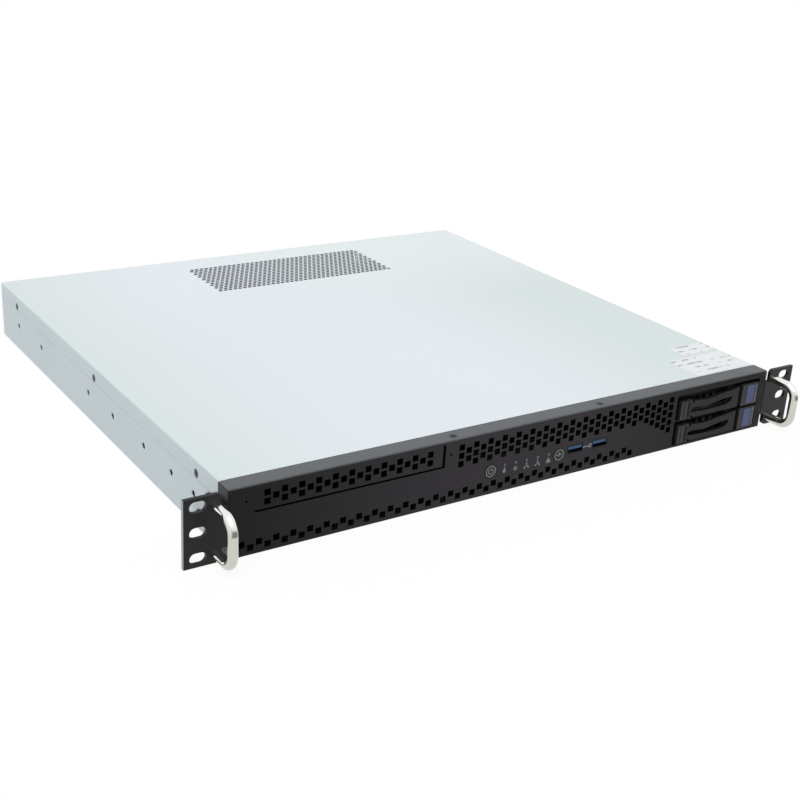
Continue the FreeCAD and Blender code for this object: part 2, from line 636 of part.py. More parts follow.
def front_rail():
    """A folded rail behind the bezel that carries its top return and the lid's front edge."""
    left = SLIM_RIGHT + SLIM_SIDE_GAP + SHEET
    right = CAGE_LEFT - SHEET
    y1 = LID_FRONT + 2 * FOOT
    shelf = box(left, right, BEZEL_CLEAR, y1, LID_UNDER - SHEET, LID_UNDER)
    lip = box(left, right, y1 - SHEET, y1, LID_UNDER - FOOT, LID_UNDER)
    ends = [box(left, left + SHEET, BEZEL_CLEAR, y1, FLOOR, LID_UNDER),
            box(right - SHEET, right, BEZEL_CLEAR, y1, FLOOR, LID_UNDER)]
    holes = [rod_z(M3, HEIGHT - 2 * SCREW_GRIP, HEIGHT, side * FLUSH_SCREW_X, FRONT + FLUSH_SCREW_Y)
             for side in (-1, 1)]
    return fuse([shelf, lip] + ends).cut(holes)


# ---- Slim drive bay ---------------------------------------------------------------------------
def slim_bay_cover():
    """Perforated blanking plate with a side tab at each end, which grips the bay's walls."""
    plate = box(SLIM_LEFT, SLIM_RIGHT, FRONT, BEZEL_BACK, SLIM_LOW, SLIM_HIGH)
    left_tab = box(SLIM_LEFT, SLIM_LEFT + SHEET, BEZEL_BACK, FRONT + FOOT, SLIM_LOW + 1, SLIM_HIGH - 1)
    right_tab = box(SLIM_RIGHT - SHEET, SLIM_RIGHT, BEZEL_BACK, FRONT + FOOT, SLIM_LOW + 1, SLIM_HIGH - 1)
    holes = []
    for column in range(int((SLIM_WIDTH - 2 * SLIM_VENT_MARGIN) / VENT_PITCH_X) + 1):
        shift = column % 2
        top = SLIM_VENT_Z - shift * VENT_PITCH_Z / 2
        low = top - (1 - shift) * VENT_PITCH_Z
        holes += vent_column(SLIM_LEFT + SLIM_VENT_MARGIN + column * VENT_PITCH_X, top, low)
    return fuse([plate, left_tab, right_tab]).cut(holes)


def slim_bay_bracket():
    """A shelf between two upright walls, on legs with feet on the pan's floor."""
    y0 = BEZEL_BACK + SLIM_SET_BACK
    y1 = y0 + SLIM_BAY_DEPTH
    left = SLIM_LEFT - SLIP
    right = SLIM_RIGHT + SLIP
    shelf_top = SLIM_LOW - SLIM_FOOT_GAP - SLIP
    pieces = [box(left - SHEET, left, y0, y1, FLOOR, SLIM_HIGH),
              box(right, right + SHEET, y0, y1, FLOOR, SLIM_HIGH),
              box(left - SHEET, right + SHEET, y0, y1, shelf_top - SHEET, shelf_top),
              box(left - FOOT, left, y0 + FOOT, y1, FLOOR, FLOOR + SHEET),
              box(right - FOOT, right, y0 + FOOT, y1, FLOOR, FLOOR + SHEET)]
    return fuse(pieces)


# ---- Ears and handles -------------------------------------------------------------------------
def right_ear():
    y0, y1 = FRONT, FRONT + EAR_THICKNESS
    outer = RACK_WIDTH / 2
    plate = box(EAR_INNER_X, outer, y0, y1, EAR_LOW, EAR_HIGH)
    plate = rounded(plate, EAR_NOTCH_RADIUS,
                    lambda p: near(p.x, EAR_INNER_X) and (near(p.z, EAR_LOW) or near(p.z, EAR_HIGH)))
    web = box(BEZEL_HALF, EAR_INNER_X + EAR_NOTCH_RADIUS, y0, y1, EAR_WEB_LOW, EAR_WEB_HIGH)
    beside_bezel = [(y0, EAR_WEB_LOW), (y0 + EAR_FLANGE_SLOPE, EAR_WEB_LOW),
                    (y0 + EAR_FLANGE_SLOPE, EAR_WEB_HIGH), (y0, EAR_WEB_HIGH)]
    step = LID_FRONT
    on_pan = [(step, EAR_WEB_LOW), (FRONT + EAR_FLANGE_LENGTH, EAR_WEB_LOW),
              (FRONT + EAR_FLANGE_LENGTH, EAR_FLANGE_END), (FRONT + EAR_FLANGE_SLOPE, EAR_WEB_HIGH),
              (step, EAR_WEB_HIGH)]
    flange = outline_yz(beside_bezel, BEZEL_HALF, BEZEL_HALF + EAR_THICKNESS)
    tail = outline_yz(on_pan, HALF, HALF + EAR_THICKNESS)
    ear = fuse([plate, web, flange, tail])
    cuts = [slot_y(SLOT_LENGTH, SLOT_WIDTH, y0 - 1, y1 + 1, SLOT_X, z) for z in SLOT_LEVELS]
    cuts += [rod_x(M3, HALF - 1, BEZEL_HALF + EAR_THICKNESS + 1, FRONT + y, EAR_SCREW_Z) for y in EAR_SCREW_Y]
    cuts.append(rod_x(M4_HEAD + 1, HALF - 1, BEZEL_HALF + EAR_THICKNESS + 1, FRONT + SIDE_SCREW_Y, SIDE_SCREW_Z))
    cuts += [handle_screw_cone(z) for z in (HANDLE_LOW, HANDLE_HIGH)]
    return ear.cut(cuts)


def handle_screw_cone(z):
    """A countersunk head in the ear's rear face, behind a leg of the handle."""
    return Part.makeCone(M3 / 2, M3_HEAD / 2, EAR_THICKNESS, vector(HANDLE_X, FRONT, z), vector(0, 1, 0))


def handle_path():
    """Leg, bend, bar, bend and leg, as one wire in the plane of the handle."""
    bar = FRONT - HANDLE_REACH
    turn = bar + HANDLE_BEND
    inset = HANDLE_BEND * (1 - math.sqrt(0.5))

    def at(y, z):
        return vector(HANDLE_X, y, z)
    low_bend = Part.Arc(at(turn, HANDLE_LOW), at(bar + inset, HANDLE_LOW + inset), at(bar, HANDLE_LOW + HANDLE_BEND))
    high_bend = Part.Arc(at(bar, HANDLE_HIGH - HANDLE_BEND), at(bar + inset, HANDLE_HIGH - inset),
                         at(turn, HANDLE_HIGH))
    low_leg = Part.LineSegment(at(FRONT, HANDLE_LOW), at(turn, HANDLE_LOW))
    middle = Part.LineSegment(at(bar, HANDLE_LOW + HANDLE_BEND), at(bar, HANDLE_HIGH - HANDLE_BEND))
    high_leg = Part.LineSegment(at(turn, HANDLE_HIGH), at(FRONT, HANDLE_HIGH))
    return Part.Wire([piece.toShape() for piece in (low_leg, low_bend, middle, high_bend, high_leg)])


def right_handle():
    circle = Part.makeCircle(HANDLE_ROD / 2, vector(HANDLE_X, FRONT, HANDLE_LOW), vector(0, 1, 0))
    rod = handle_path().makePipeShell([Part.Wire(circle)], True, False)
    threads = [rod_y(M3, FRONT - HANDLE_THREAD_DEPTH, FRONT, HANDLE_X, z) for z in (HANDLE_LOW, HANDLE_HIGH)]
    return rod.cut(threads)


def handle_screws():
    """Countersunk screws from behind the ears into the handles' legs."""
    right = []
    for z in (HANDLE_LOW, HANDLE_HIGH):
        shank = rod_y(M3, FRONT - HANDLE_THREAD_DEPTH + 1, FRONT, HANDLE_X, z)
        right.append(fuse([handle_screw_cone(z), shank]))
    return group(right + [mirrored(screw) for screw in right])


def ear_screws():
    screws = []
    for y in EAR_SCREW_Y:
        screws += side_screws(M3, M3_HEAD, M3_HEAD_HEIGHT, HALF + EAR_THICKNESS, y, EAR_SCREW_Z)
    return group(screws)


# ---- Front controls ---------------------------------------------------------------------------
def button(x):
    """A round cap with a flange behind the bezel and a stem to the switch."""
    cap_back = BEZEL_BACK + SLIP
    flange_back = cap_back + SHEET
    cap = rod_y(BUTTON_D, FRONT - BUTTON_PROUD, cap_back, x, BUTTON_Z)
    face = FRONT - BUTTON_PROUD
    cap = bevelled(cap, BUTTON_PROUD / 2, lambda p: near(p.y, face))
    flange = rod_y(BUTTON_FLANGE, cap_back, flange_back, x, BUTTON_Z)
    stem = rod_y(BUTTON_STEM, flange_back, CONTROL_FACE - switch_height() - BUTTON_TRAVEL - SLIP, x, BUTTON_Z)
    return fuse([cap, flange, stem])


def switch_height():
    """How far a key switch stands off the control board."""
    return CIRCUIT_BOARD


def control_board():
    """The small board behind the bezel, with the two key switches under the buttons' stems."""
    board = box(CONTROL_LEFT, CONTROL_RIGHT, CONTROL_FACE, CONTROL_BACK, *CONTROL_BOARD_Z)
    half = BUTTON_STEM
    switches = [box(x - half, x + half, CONTROL_FACE - switch_height(), CONTROL_FACE, BUTTON_Z - half,
                    BUTTON_Z + half) for x in (POWER_X, ID_X)]
    return fuse([board] + switches)


def control_bracket():
    """An angle on the pan's floor with four spacers that carry the control board."""
    x0, x1 = CONTROL_LEFT, CONTROL_RIGHT
    wall = box(x0, x1, CONTROL_PLATE, CONTROL_PLATE + SHEET, FLOOR, CONTROL_BOARD_Z[1])
    window = box(x0 + FOOT, x1 - FOOT, CONTROL_PLATE - 1, CONTROL_PLATE + 2, FLOOR + 2 * SHEET,
                 CONTROL_BOARD_Z[0])
    foot = box(x0, x1, CONTROL_PLATE, CONTROL_PLATE + FOOT, FLOOR, FLOOR + SHEET)
    spacers = [rod_y(M3 + 2, CONTROL_BACK, CONTROL_PLATE, x, z)
               for x in (x0 + FOOT / 2, x1 - FOOT / 2)
               for z in (CONTROL_BOARD_Z[0] + FOOT / 2, CONTROL_BOARD_Z[1] - FOOT / 2)]
    return fuse([wall.cut(window), foot] + spacers)


def status_light_pipes():
    return group([rod_y(LIGHT_D, FRONT - SLIP, CONTROL_FACE, x, LIGHT_Z) for x in LIGHT_X])


def usb_shell(x, z, y0, y1):
    """A folded metal sleeve, open at the mouth."""
    def sleeve(grow, start, end):
        half_width = USB_WIDTH / 2 - grow
        half_height = USB_HEIGHT / 2 - grow
        return box(x - half_width, x + half_width, start, end, z - half_height, z + half_height)
    return sleeve(0, y0, y1).cut(sleeve(USB_SHELL, y0 - 1, y1 - USB_SHELL))


def usb_tongue(x, z, y0, y1):
    """The blade inside a port, in the upper half of its mouth."""
    half = USB_WIDTH / 2 - 2 * USB_SHELL
    return box(x - half, x + half, y0, y1, z, z + USB_HEIGHT / 3)


def front_usb_shells():
    return group([usb_shell(x, USB_Z, FRONT - SLIP, CONTROL_FACE) for x in USB_X])


def front_usb_tongues():
    """The blades and the mouldings that they grow from, which fill the back of each shell."""
    back = CONTROL_FACE - USB_SHELL
    ports = []
    for x in USB_X:
        half_width = USB_WIDTH / 2 - USB_SHELL
        half_height = USB_HEIGHT / 2 - USB_SHELL
        block = box(x - half_width, x + half_width, FRONT + USB_REACH, back, USB_Z - half_height, USB_Z + half_height)
        ports.append(fuse([usb_tongue(x, USB_Z, FRONT + USB_SHELL, back), block]))
    return group(ports)


# ---- Hot-swap drives --------------------------------------------------------------------------
def drive_cage():
    """A folded hood over the two trays, with runners, feet and rear flanges for the backplane."""
    y0 = BEZEL_BACK + SLIP
    y1 = BACKPLANE_Y
    left, right = CAGE_LEFT, CAGE_RIGHT
    pieces = [box(left - SHEET, left, y0, y1, FLOOR, CAGE_ROOF), box(right - SHEET, right, y0, y1, FLOOR, CAGE_ROOF),
              box(left - SHEET, right, y0, y1, CAGE_ROOF - SHEET, CAGE_ROOF),
              box(left - FOOT, left, y0 + 5 * FOOT, y1, FLOOR, FLOOR + SHEET),
              box(right - SHEET, right + FOOT / 3, y0 + 5 * FOOT, y1, FLOOR, FLOOR + SHEET),
              box(left - SHEET, TRAY_LEFT, y1 - SHEET, y1, FLOOR, CAGE_ROOF),
              box(TRAY_RIGHT, right, y1 - SHEET, y1, FLOOR, CAGE_ROOF)]
    rail = (TRAY_WIDTH - DRIVE_WIDTH) / 2
    for level in TRAY_LEVELS.values():
        top = level - RUNNER_GAP
        foot = max(FLOOR, top - SHEET)
        pieces.append(box(left - SHEET, TRAY_LEFT + rail - SLIP, y0, y1, foot, top))
        pieces.append(box(TRAY_RIGHT - rail + SLIP, right, y0, y1, foot, top))
    return fuse(pieces)


def tray_frame(level):
    """Moulded front, pin lugs, side rails, floor straps and rear bar of a drive tray."""
    face = FRONT - TRAY_PROUD
    back = FRONT + TRAY_FRONT_DEPTH
    end = FRONT + TRAY_LENGTH
    top = level + TRAY_HEIGHT
    cap = end_cap_top(level)
    rail = (TRAY_WIDTH - DRIVE_WIDTH) / 2 - SLIP / 2
    block = TRAY_LEFT + LATCH_BLOCK
    rail_top = level + TRAY_FLOOR + DRIVE_HEIGHT
    pieces = [box(TRAY_LEFT, TRAY_LEFT + END_CAP, face, back, level, cap),
              box(block, TRAY_RIGHT, face, back, level, top),
              box(TRAY_LEFT, TRAY_RIGHT, back - 2, back, level, top),
              box(TRAY_LEFT, TRAY_LEFT + rail, back, end, level, rail_top),
              box(TRAY_RIGHT - rail, TRAY_RIGHT, back, end, level, rail_top)]
    for y in (FRONT + DRIVE_START + FOOT, end - 3 * FOOT):
        pieces.append(box(TRAY_LEFT, TRAY_RIGHT, y, y + 2 * FOOT, level, level + TRAY_FLOOR))
    for z in (level, cap - LUG):
        lug = rod_z(2 * LEVER_KNUCKLE, z, z + LUG, PIN_X, PIN_Y)
        arm = box(TRAY_LEFT + END_CAP - 1, PIN_X + LEVER_KNUCKLE, PIN_Y, back - 1, z, z + LUG)
        pieces += [lug, arm]
    ridge = box(TRAY_LEFT + END_CAP / 2, TRAY_LEFT + END_CAP - SHEET, face - SHEET / 2, face, level + 1, cap - 1)
    frame = fuse(pieces + [ridge])
    return frame.cut(tray_cuts(level, face, back))


def end_cap_top(level):
    return level + TRAY_HEIGHT * END_CAP_RISE


def tray_cuts(level, face, back):
    """The latch's window, the light pipe's slot, the pin's bores and air slots."""
    latch = TRAY_LEFT + LATCH_LEFT
    low = level + LATCH_MARGIN
    high = level + TRAY_HEIGHT - LATCH_MARGIN
    cuts = [box(latch - LATCH_PLAY, latch + LATCH_WIDTH + LATCH_PLAY, face - 1, back + 1, low - LATCH_PLAY,
                high + LATCH_PLAY),
            light_bar(level, face - 1, back + 1),
            rod_z(PIN_D, level - 1, level + TRAY_HEIGHT + 1, PIN_X, PIN_Y)]
    slots = 6
    pitch = (LATCH_BLOCK - END_CAP - 2 * FOOT) / slots
    for step in range(slots):
        x = TRAY_LEFT + END_CAP + FOOT + step * pitch
        cuts.append(box(x, x + pitch / 2, back - 3, back + 1, low + 2, high - 2))
    return cuts


def light_bar(level, y0, y1):
    """The clear bar beside the latch that carries the drive's lights to the front."""
    x0 = TRAY_RIGHT - LIGHT_BAR - SHEET
    return box(x0, x0 + LIGHT_BAR, y0, y1, level + LATCH_MARGIN, level + TRAY_HEIGHT - LATCH_MARGIN)


def tray_light_pipe(level):
    return light_bar(level, FRONT - TRAY_PROUD - SLIP, FRONT + TRAY_FRONT_DEPTH)


def edge_xz(points, y):
    """A straight edge between two points drawn in X and Z, or a smooth one through more of them."""
    places = [vector(x, y, z) for x, z in points]
    if len(places) == 2:
        return Part.makeLine(*places)
    curve = Part.BSplineCurve()
    curve.interpolate(places)
    return curve.toShape()


def band_xz(upper, lower, y0, y1):
    """A flat band between two edges drawn from left to right, pushed along Y."""
    edges = [edge_xz(upper, y0), edge_xz([upper[-1], lower[-1]], y0), edge_xz(lower[::-1], y0),
             edge_xz([lower[0], upper[0]], y0)]
    return Part.Face(Part.Wire(edges)).extrude(vector(0, y1 - y0, 0))


def tray_lever(level):
    """The pull lever: a flat arm on a knuckle, with a waved top edge and a swept finger opening."""
    face = FRONT - TRAY_PROUD
    left = PIN_X - LEVER_KNUCKLE
    right = TRAY_LEFT + END_CAP + LEVER_LENGTH
    low = level + LEVER_GAP

    def placed(shares):
        return [(left + along * (right - left), level + up * TRAY_HEIGHT) for along, up in shares]
    outline = band_xz(placed(LEVER_CREST), [(left, low), (right, low)], face - 1, back_of_lever())
    window = band_xz(placed(WINDOW_TOP), placed(WINDOW_FOOT), face - 1, back_of_lever())
    arm = box(PIN_X, right, face, face + LEVER_THICKNESS, level - 1, level + TRAY_HEIGHT)
    knuckle = rod_z(2 * LEVER_KNUCKLE, level - 1, level + TRAY_HEIGHT, PIN_X, PIN_Y)
    lever = fuse([arm, knuckle]).common(outline).cut(window)
    keep_clear = LUG + LEVER_GAP
    reach = PIN_X + LEVER_KNUCKLE + LEVER_GAP
    cap = end_cap_top(level)
    notches = [box(left - 1, reach, face - 1, back_of_lever(), level - 1, level + keep_clear),
               box(left - 1, reach, face - 1, back_of_lever(), cap - keep_clear, level + TRAY_HEIGHT),
               rod_z(PIN_D + 2 * PIN_PLAY, level - 1, level + TRAY_HEIGHT, PIN_X, PIN_Y)]
    boss = rod_z(2 * LEVER_KNUCKLE, level + keep_clear, cap - keep_clear, PIN_X, PIN_Y)
    return fuse([lever.cut(notches[:2]), boss]).cut(notches[2])


def back_of_lever():
    return PIN_Y + 2 * LEVER_KNUCKLE


def lever_pin(level):
    return rod_z(PIN_D, level + LEVER_GAP, end_cap_top(level) - LEVER_GAP, PIN_X, PIN_Y)


def tray_latch(level):
    """The coloured release button, with a flange behind the tray's front."""
    left = TRAY_LEFT + LATCH_LEFT
    right = left + LATCH_WIDTH
    low = level + LATCH_MARGIN
    high = level + TRAY_HEIGHT - LATCH_MARGIN
    back = FRONT + TRAY_FRONT_DEPTH + LEVER_GAP
    face = FRONT - TRAY_PROUD - BUTTON_PROUD
    body = box(left, right, face, back, low, high)
    body = rounded(body, BUTTON_PROUD, lambda p: near(p.y, face))
    flange = box(left, right, back, back + 1, low - LATCH_MARGIN / 2, high + LATCH_MARGIN / 2)
    return fuse([body, flange])


def drive(level):
    """A 2.5 inch drive, with its plug recess at the rear."""
    y0 = FRONT + DRIVE_START
    z0 = level + TRAY_FLOOR
    body = box(DRIVE_LEFT, DRIVE_LEFT + DRIVE_WIDTH, y0, y0 + DRIVE_LENGTH, z0, z0 + DRIVE_HEIGHT)
    return rounded(body, 1.0, lambda p: near(p.z, z0 + DRIVE_HEIGHT))


def backplane():
    """The board at the cage's rear flanges, with air openings beside the sockets."""
    board = box(CAGE_LEFT, CAGE_RIGHT - SHEET, BACKPLANE_Y, BACKPLANE_Y + CIRCUIT_BOARD, FLOOR + 1,
                CAGE_ROOF - 1)
    cuts = []
    for level in TRAY_LEVELS.values():
        z0 = level + TRAY_FLOOR + DRIVE_HEIGHT + 1
        cuts.append(box(TRAY_LEFT + FOOT, TRAY_RIGHT - FOOT, BACKPLANE_Y - 1, BACKPLANE_Y + 3, z0, z0 + 3))
    return board.cut(cuts)


def backplane_sockets():
    """The sockets that the drives plug into."""
    middle = TRAY_LEFT + TRAY_WIDTH / 2
    half = DRIVE_WIDTH * 0.3
    y0 = FRONT + DRIVE_START + DRIVE_LENGTH + LEVER_GAP
    sockets = []
    for level in TRAY_LEVELS.values():
        z0 = level + TRAY_FLOOR + 1
        sockets.append(box(middle - half, middle + half, y0, BACKPLANE_Y, z0, z0 + DRIVE_HEIGHT / 2))
    return group(sockets)


# ---- Fans -------------------------------------------------------------------------------------
def fan_housing(x, z, y0, depth):
    """A square frame with a round throat, and a motor seat on four struts at the rear."""
    half = FAN_SIZE / 2
    y1 = y0 + depth
    frame = box(x - half, x + half, y0, y1, z - half, z + half).cut(rod_y(FAN_BORE, y0 - 1, y1 + 1, x, z))
    seat = rod_y(FAN_HUB, y1 - 2, y1, x, z)
    bearing = rod_y(2 * FAN_SHAFT, y1 - depth / 2, y1 - 1, x, z)
    struts = [box(x - 1, x + 1, y1 - 2, y1, z - half + 0.5, z + half - 0.5),
              box(x - half + 0.5, x + half - 0.5, y1 - 2, y1, z - 1, z + 1)]
    shaft_hole = rod_y(FAN_SHAFT + 2 * PIN_PLAY, y0, y1 - 1, x, z)
    return fuse([frame, seat, bearing] + struts).cut(shaft_hole)


def fan_blade(x, z, y0, y1, angle):
    """A pitched blade: a slanted strip pushed out from inside the hub and trimmed to the tip circle."""
    tip = FAN_BORE / 2 - FAN_TIP_GAP
    lean = (y1 - y0) / 2
    strip = [(-lean - BLADE, y0), (BLADE - lean, y0), (lean + BLADE, y1), (lean - BLADE, y1)]
    corners = [vector(FAN_HUB / 2 - 1, y, side) for side, y in strip]
    blade = sweep_outline(corners, vector(tip, 0, 0))
    blade = blade.common(rod_y(2 * tip, y0 - 1, y1 + 1, 0, 0))
    blade.rotate(vector(0, 0, 0), vector(0, 1, 0), angle)
    blade.translate(vector(x, 0, z))
    return blade


def fan_rotor(x, z, y0, depth):
    """Hub cup, shaft and blades, turning on the bearing of the housing."""
    y_start = y0 + 1
    y_end = y0 + depth - 3
    cup = bevelled(rod_y(FAN_HUB, y_start, y_end, x, z), 1.0, lambda p: near(p.y, y_start))
    room = rod_y(FAN_HUB - 3, y0 + depth / 2 - 1, y_end + 1, x, z)
    shaft = rod_y(FAN_SHAFT, y_start + 1, y0 + depth - 2, x, z)
    blades = [fan_blade(x, z, y_start + 1, y_end - 1, step * 360 / FAN_BLADES) for step in range(FAN_BLADES)]
    return fuse([cup.cut(room), shaft] + [blade.cut(rod_y(FAN_HUB - 3, y0, y_end, x, z)) for blade in blades])


def fan_bracket():
    """A channel across the floor that the three fans drop into, open in front of each throat."""
    reach = FAN_SIZE / 2 + 2
    x0 = FAN_ROW_X[0] - reach
    x1 = FAN_ROW_X[-1] + reach
    high = FLOOR + SHEET + FAN_SIZE * 0.9
    floor = box(x0, x1, FAN_FRONT - SHEET, FAN_BACK + SHEET, FLOOR, FLOOR + SHEET)
    walls = [box(x0, x1, FAN_FRONT - SHEET, FAN_FRONT, FLOOR, high),
             box(x0, x1, FAN_BACK, FAN_BACK + SHEET, FLOOR, high)]
    throats = [rod_y(FAN_BORE - 1, FAN_FRONT - 5, FAN_BACK + 5, x, FAN_MIDDLE) for x in FAN_ROW_X]
    return fuse([floor] + walls).cut(throats)


def fan_housings():
    return group([fan_housing(x, FAN_MIDDLE, FAN_FRONT, FAN_DEPTH) for x in FAN_ROW_X])


# ---- Main board -------------------------------------------------------------------------------
def board_hole_centres():
    """Nine fixing points, in from the board's edges."""
    xs = [BOARD_LEFT + BOARD_HOLE_INSET, BOARD_LEFT + BOARD_HOLE_ALONG, BOARD_RIGHT - BOARD_HOLE_INSET]
    ys = [BOARD_FRONT + BOARD_HOLE_INSET, BOARD_FRONT + BOARD_HOLE_BACK, BOARD_REAR - 2 * BOARD_HOLE_INSET]
    return [(x, y) for x in xs for y in ys]


def motherboard():
    board = box(BOARD_LEFT, BOARD_RIGHT, BOARD_FRONT, BOARD_REAR, BOARD_LOW, BOARD_TOP)
    return board.cut([rod_z(M3, BOARD_LOW - 1, BOARD_TOP + 1, x, y) for x, y in board_hole_centres()])


def board_standoffs():
    """Hexagon pillars between the pan's floor and the board."""
    pillars = []
    for x, y in board_hole_centres():
        corners = [(x + STANDOFF_D / 2 * math.cos(math.radians(60 * step)),
                    y + STANDOFF_D / 2 * math.sin(math.radians(60 * step))) for step in range(6)]
        pillar = outline_xy(corners, FLOOR, BOARD_LOW)
        pillars.append(pillar.cut(rod_z(M3, BOARD_LOW - SCREW_GRIP, BOARD_LOW + 1, x, y)))
    return group(pillars)


def board_screws():
    screws = []
    for x, y in board_hole_centres():
        shank = rod_z(M3, BOARD_LOW - SCREW_GRIP, BOARD_TOP, x, y)
        head = rod_z(M3_HEAD, BOARD_TOP, BOARD_TOP + M3_HEAD_HEIGHT, x, y)
        screws.append(fuse([shank, head]))
    return group(screws)


def processor_socket():
    y = REAR_INNER - SOCKET_REAR
    half = SOCKET_SIZE / 2
    return box(SOCKET_X - half, SOCKET_X + half, y - half, y + half, BOARD_TOP, BOARD_TOP + SOCKET_HEIGHT)


def processor_heatsink():
    y = REAR_INNER - SOCKET_REAR
    return comb(SINK_SIZE, SINK_SIZE, SINK_BASE, SINK_HEIGHT, SINK_FINS, SOCKET_X, y, BOARD_TOP + SOCKET_HEIGHT)


def chipset_heatsink():
    return comb(CHIP_SINK_SIZE, CHIP_SINK_SIZE, SINK_BASE, CHIP_SINK_HEIGHT, CHIP_SINK_FINS,
                BOARD_LEFT + CHIP_SINK_ALONG, BOARD_FRONT + CHIP_SINK_BACK, BOARD_TOP)


def memory_slots():
    """Slots with raised end clips, each cut to the foot and the ends of its module."""
    slots = []
    half = MEMORY_WIDTH / 2
    y0, y1 = MEMORY_FRONT, MEMORY_FRONT + MEMORY_LENGTH
    for step in range(MEMORY_SLOTS):
        x = MEMORY_X + step * MEMORY_PITCH
        body = box(x - half, x + half, y0, y1, BOARD_TOP, BOARD_TOP + MEMORY_HEIGHT)
        ends = [box(x - half, x + half, y, y + MEMORY_END, BOARD_TOP, BOARD_TOP + MEMORY_END_HEIGHT)
                for y in (y0, y1 - MEMORY_END)]
        slots.append(fuse([body] + ends).cut(module_blank(step)))
    return group(slots)


def module_blank(step):
    """The circuit board of one memory module, standing in its slot."""
    x = MEMORY_X + step * MEMORY_PITCH
    middle = MEMORY_FRONT + MEMORY_LENGTH / 2
    half = MODULE_THICKNESS / 2
    z0 = BOARD_TOP + MODULE_LEVEL
    reach = MODULE_LENGTH / 2 + CLIP
    return box(x - half, x + half, middle - reach, middle + reach, z0, z0 + MODULE_HEIGHT)


def memory_modules():
    return group([module_blank(step) for step in range(MEMORY_SLOTS)])


def board_connectors():
    """Power sockets, data sockets and the clock battery along the board's front edge."""
    y = BOARD_FRONT + CONNECTOR_BACK
    parts = []
    for along, length in POWER_SOCKETS:
        x = BOARD_LEFT + along
        parts.append(box(x, x + length, y, y + POWER_SOCKET_DEPTH, BOARD_TOP, BOARD_TOP + POWER_SOCKET_HEIGHT))
    start = MEMORY_X + (MEMORY_SLOTS - 1) * MEMORY_PITCH + MEMORY_WIDTH / 2 + MEMORY_SPACE
    pitch = DATA_SOCKET_WIDTH + SOCKET_SPACE
    for step in range(int((BOARD_RIGHT - 2 * BOARD_HOLE_INSET - start + SOCKET_SPACE) / pitch)):
        x = start + step * pitch
        parts.append(box(x, x + DATA_SOCKET_WIDTH, y, y + DATA_SOCKET_DEPTH, BOARD_TOP,
                         BOARD_TOP + DATA_SOCKET_HEIGHT))
    parts.append(rod_z(BATTERY_D, BOARD_TOP, BOARD_TOP + BATTERY_HEIGHT, BOARD_LEFT + BATTERY_ALONG,
                       BOARD_FRONT + BATTERY_BACK))
    return group(parts)


# ---- Rear -------------------------------------------------------------------------------------
def port_face():
    return REAR - SHEET / 2


def network_jack(x):
    """A jack with a square mouth to the rear."""
    half = JACK_WIDTH / 2
    face = port_face()
    body = box(x - half, x + half, face - JACK_DEPTH, face, BOARD_TOP, BOARD_TOP + JACK_HEIGHT)
    z0 = BOARD_TOP + 2
    mouth = box(x - JACK_MOUTH / 2, x + JACK_MOUTH / 2, face - JACK_MOUTH_DEPTH, face + 1, z0, z0 + JACK_MOUTH_HEIGHT)
    return body.cut(mouth)


def network_ports():
    return group([network_jack(x) for x in JACK_X])


def rear_usb_ports():
    """Stacked pairs of USB ports."""
    face = port_face()
    stacks = []
    for x in REAR_USB_X:
        half = USB_WIDTH / 2
        body = box(x - half, x + half, face - JACK_DEPTH, face, BOARD_TOP, BOARD_TOP + REAR_USB_STACK)
        for step in (0, 1):
            z = BOARD_TOP + REAR_USB_STACK * (0.25 + 0.5 * step)
            mouth = box(x - half + USB_SHELL, x + half - USB_SHELL, face - JACK_MOUTH_DEPTH, face + 1, z - 2.5, z + 2.5)
            body = fuse([body.cut(mouth), usb_tongue(x, z, face - JACK_MOUTH_DEPTH, face - 1)])
        stacks.append(body)
    return group(stacks)


def video_port():
    """A D-shaped connector with its two hexagon posts."""
    face = port_face()
    half = VIDEO_WIDTH / 2
    z = BOARD_TOP + VIDEO_HEIGHT / 2
    plate = box(VIDEO_X - half, VIDEO_X + half, face - JACK_DEPTH, face - 1, BOARD_TOP, BOARD_TOP + VIDEO_HEIGHT)
    mouth = outline_xz([(VIDEO_X - 8, z + 4), (VIDEO_X + 8, z + 4), (VIDEO_X + 7, z - 4), (VIDEO_X - 7, z - 4)],
                       face - 1, REAR + 3)
    hollow = outline_xz([(VIDEO_X - 7.5, z + 3.5), (VIDEO_X + 7.5, z + 3.5), (VIDEO_X + 6.5, z - 3.5),
                         (VIDEO_X - 6.5, z - 3.5)], REAR - 1, REAR + 4)
    posts = [rod_y(4.6, face - 1, REAR + 2, VIDEO_X + side * 12.5, z) for side in (-1, 1)]
    return fuse([plate, mouth.cut(hollow)] + posts)


def io_shield():
    """The pressed plate round the ports, sprung into the rear wall's opening."""
    face = REAR - SHEET / 2
    plate = box(IO_LEFT + SLIP, IO_RIGHT - SLIP, REAR_INNER, face, IO_LOW + SLIP, IO_HIGH - SLIP)
    cuts = []

    def window(x, width, height):
        half = width / 2 + SLIP
        return box(x - half, x + half, REAR_INNER - 1, REAR + 1, BOARD_TOP - SLIP, BOARD_TOP + height + SLIP)
    cuts += [window(x, JACK_WIDTH, JACK_HEIGHT) for x in JACK_X]
    cuts += [window(x, USB_WIDTH, REAR_USB_STACK) for x in REAR_USB_X]
    cuts.append(window(VIDEO_X, VIDEO_WIDTH, VIDEO_HEIGHT))
    return plate.cut(cuts)


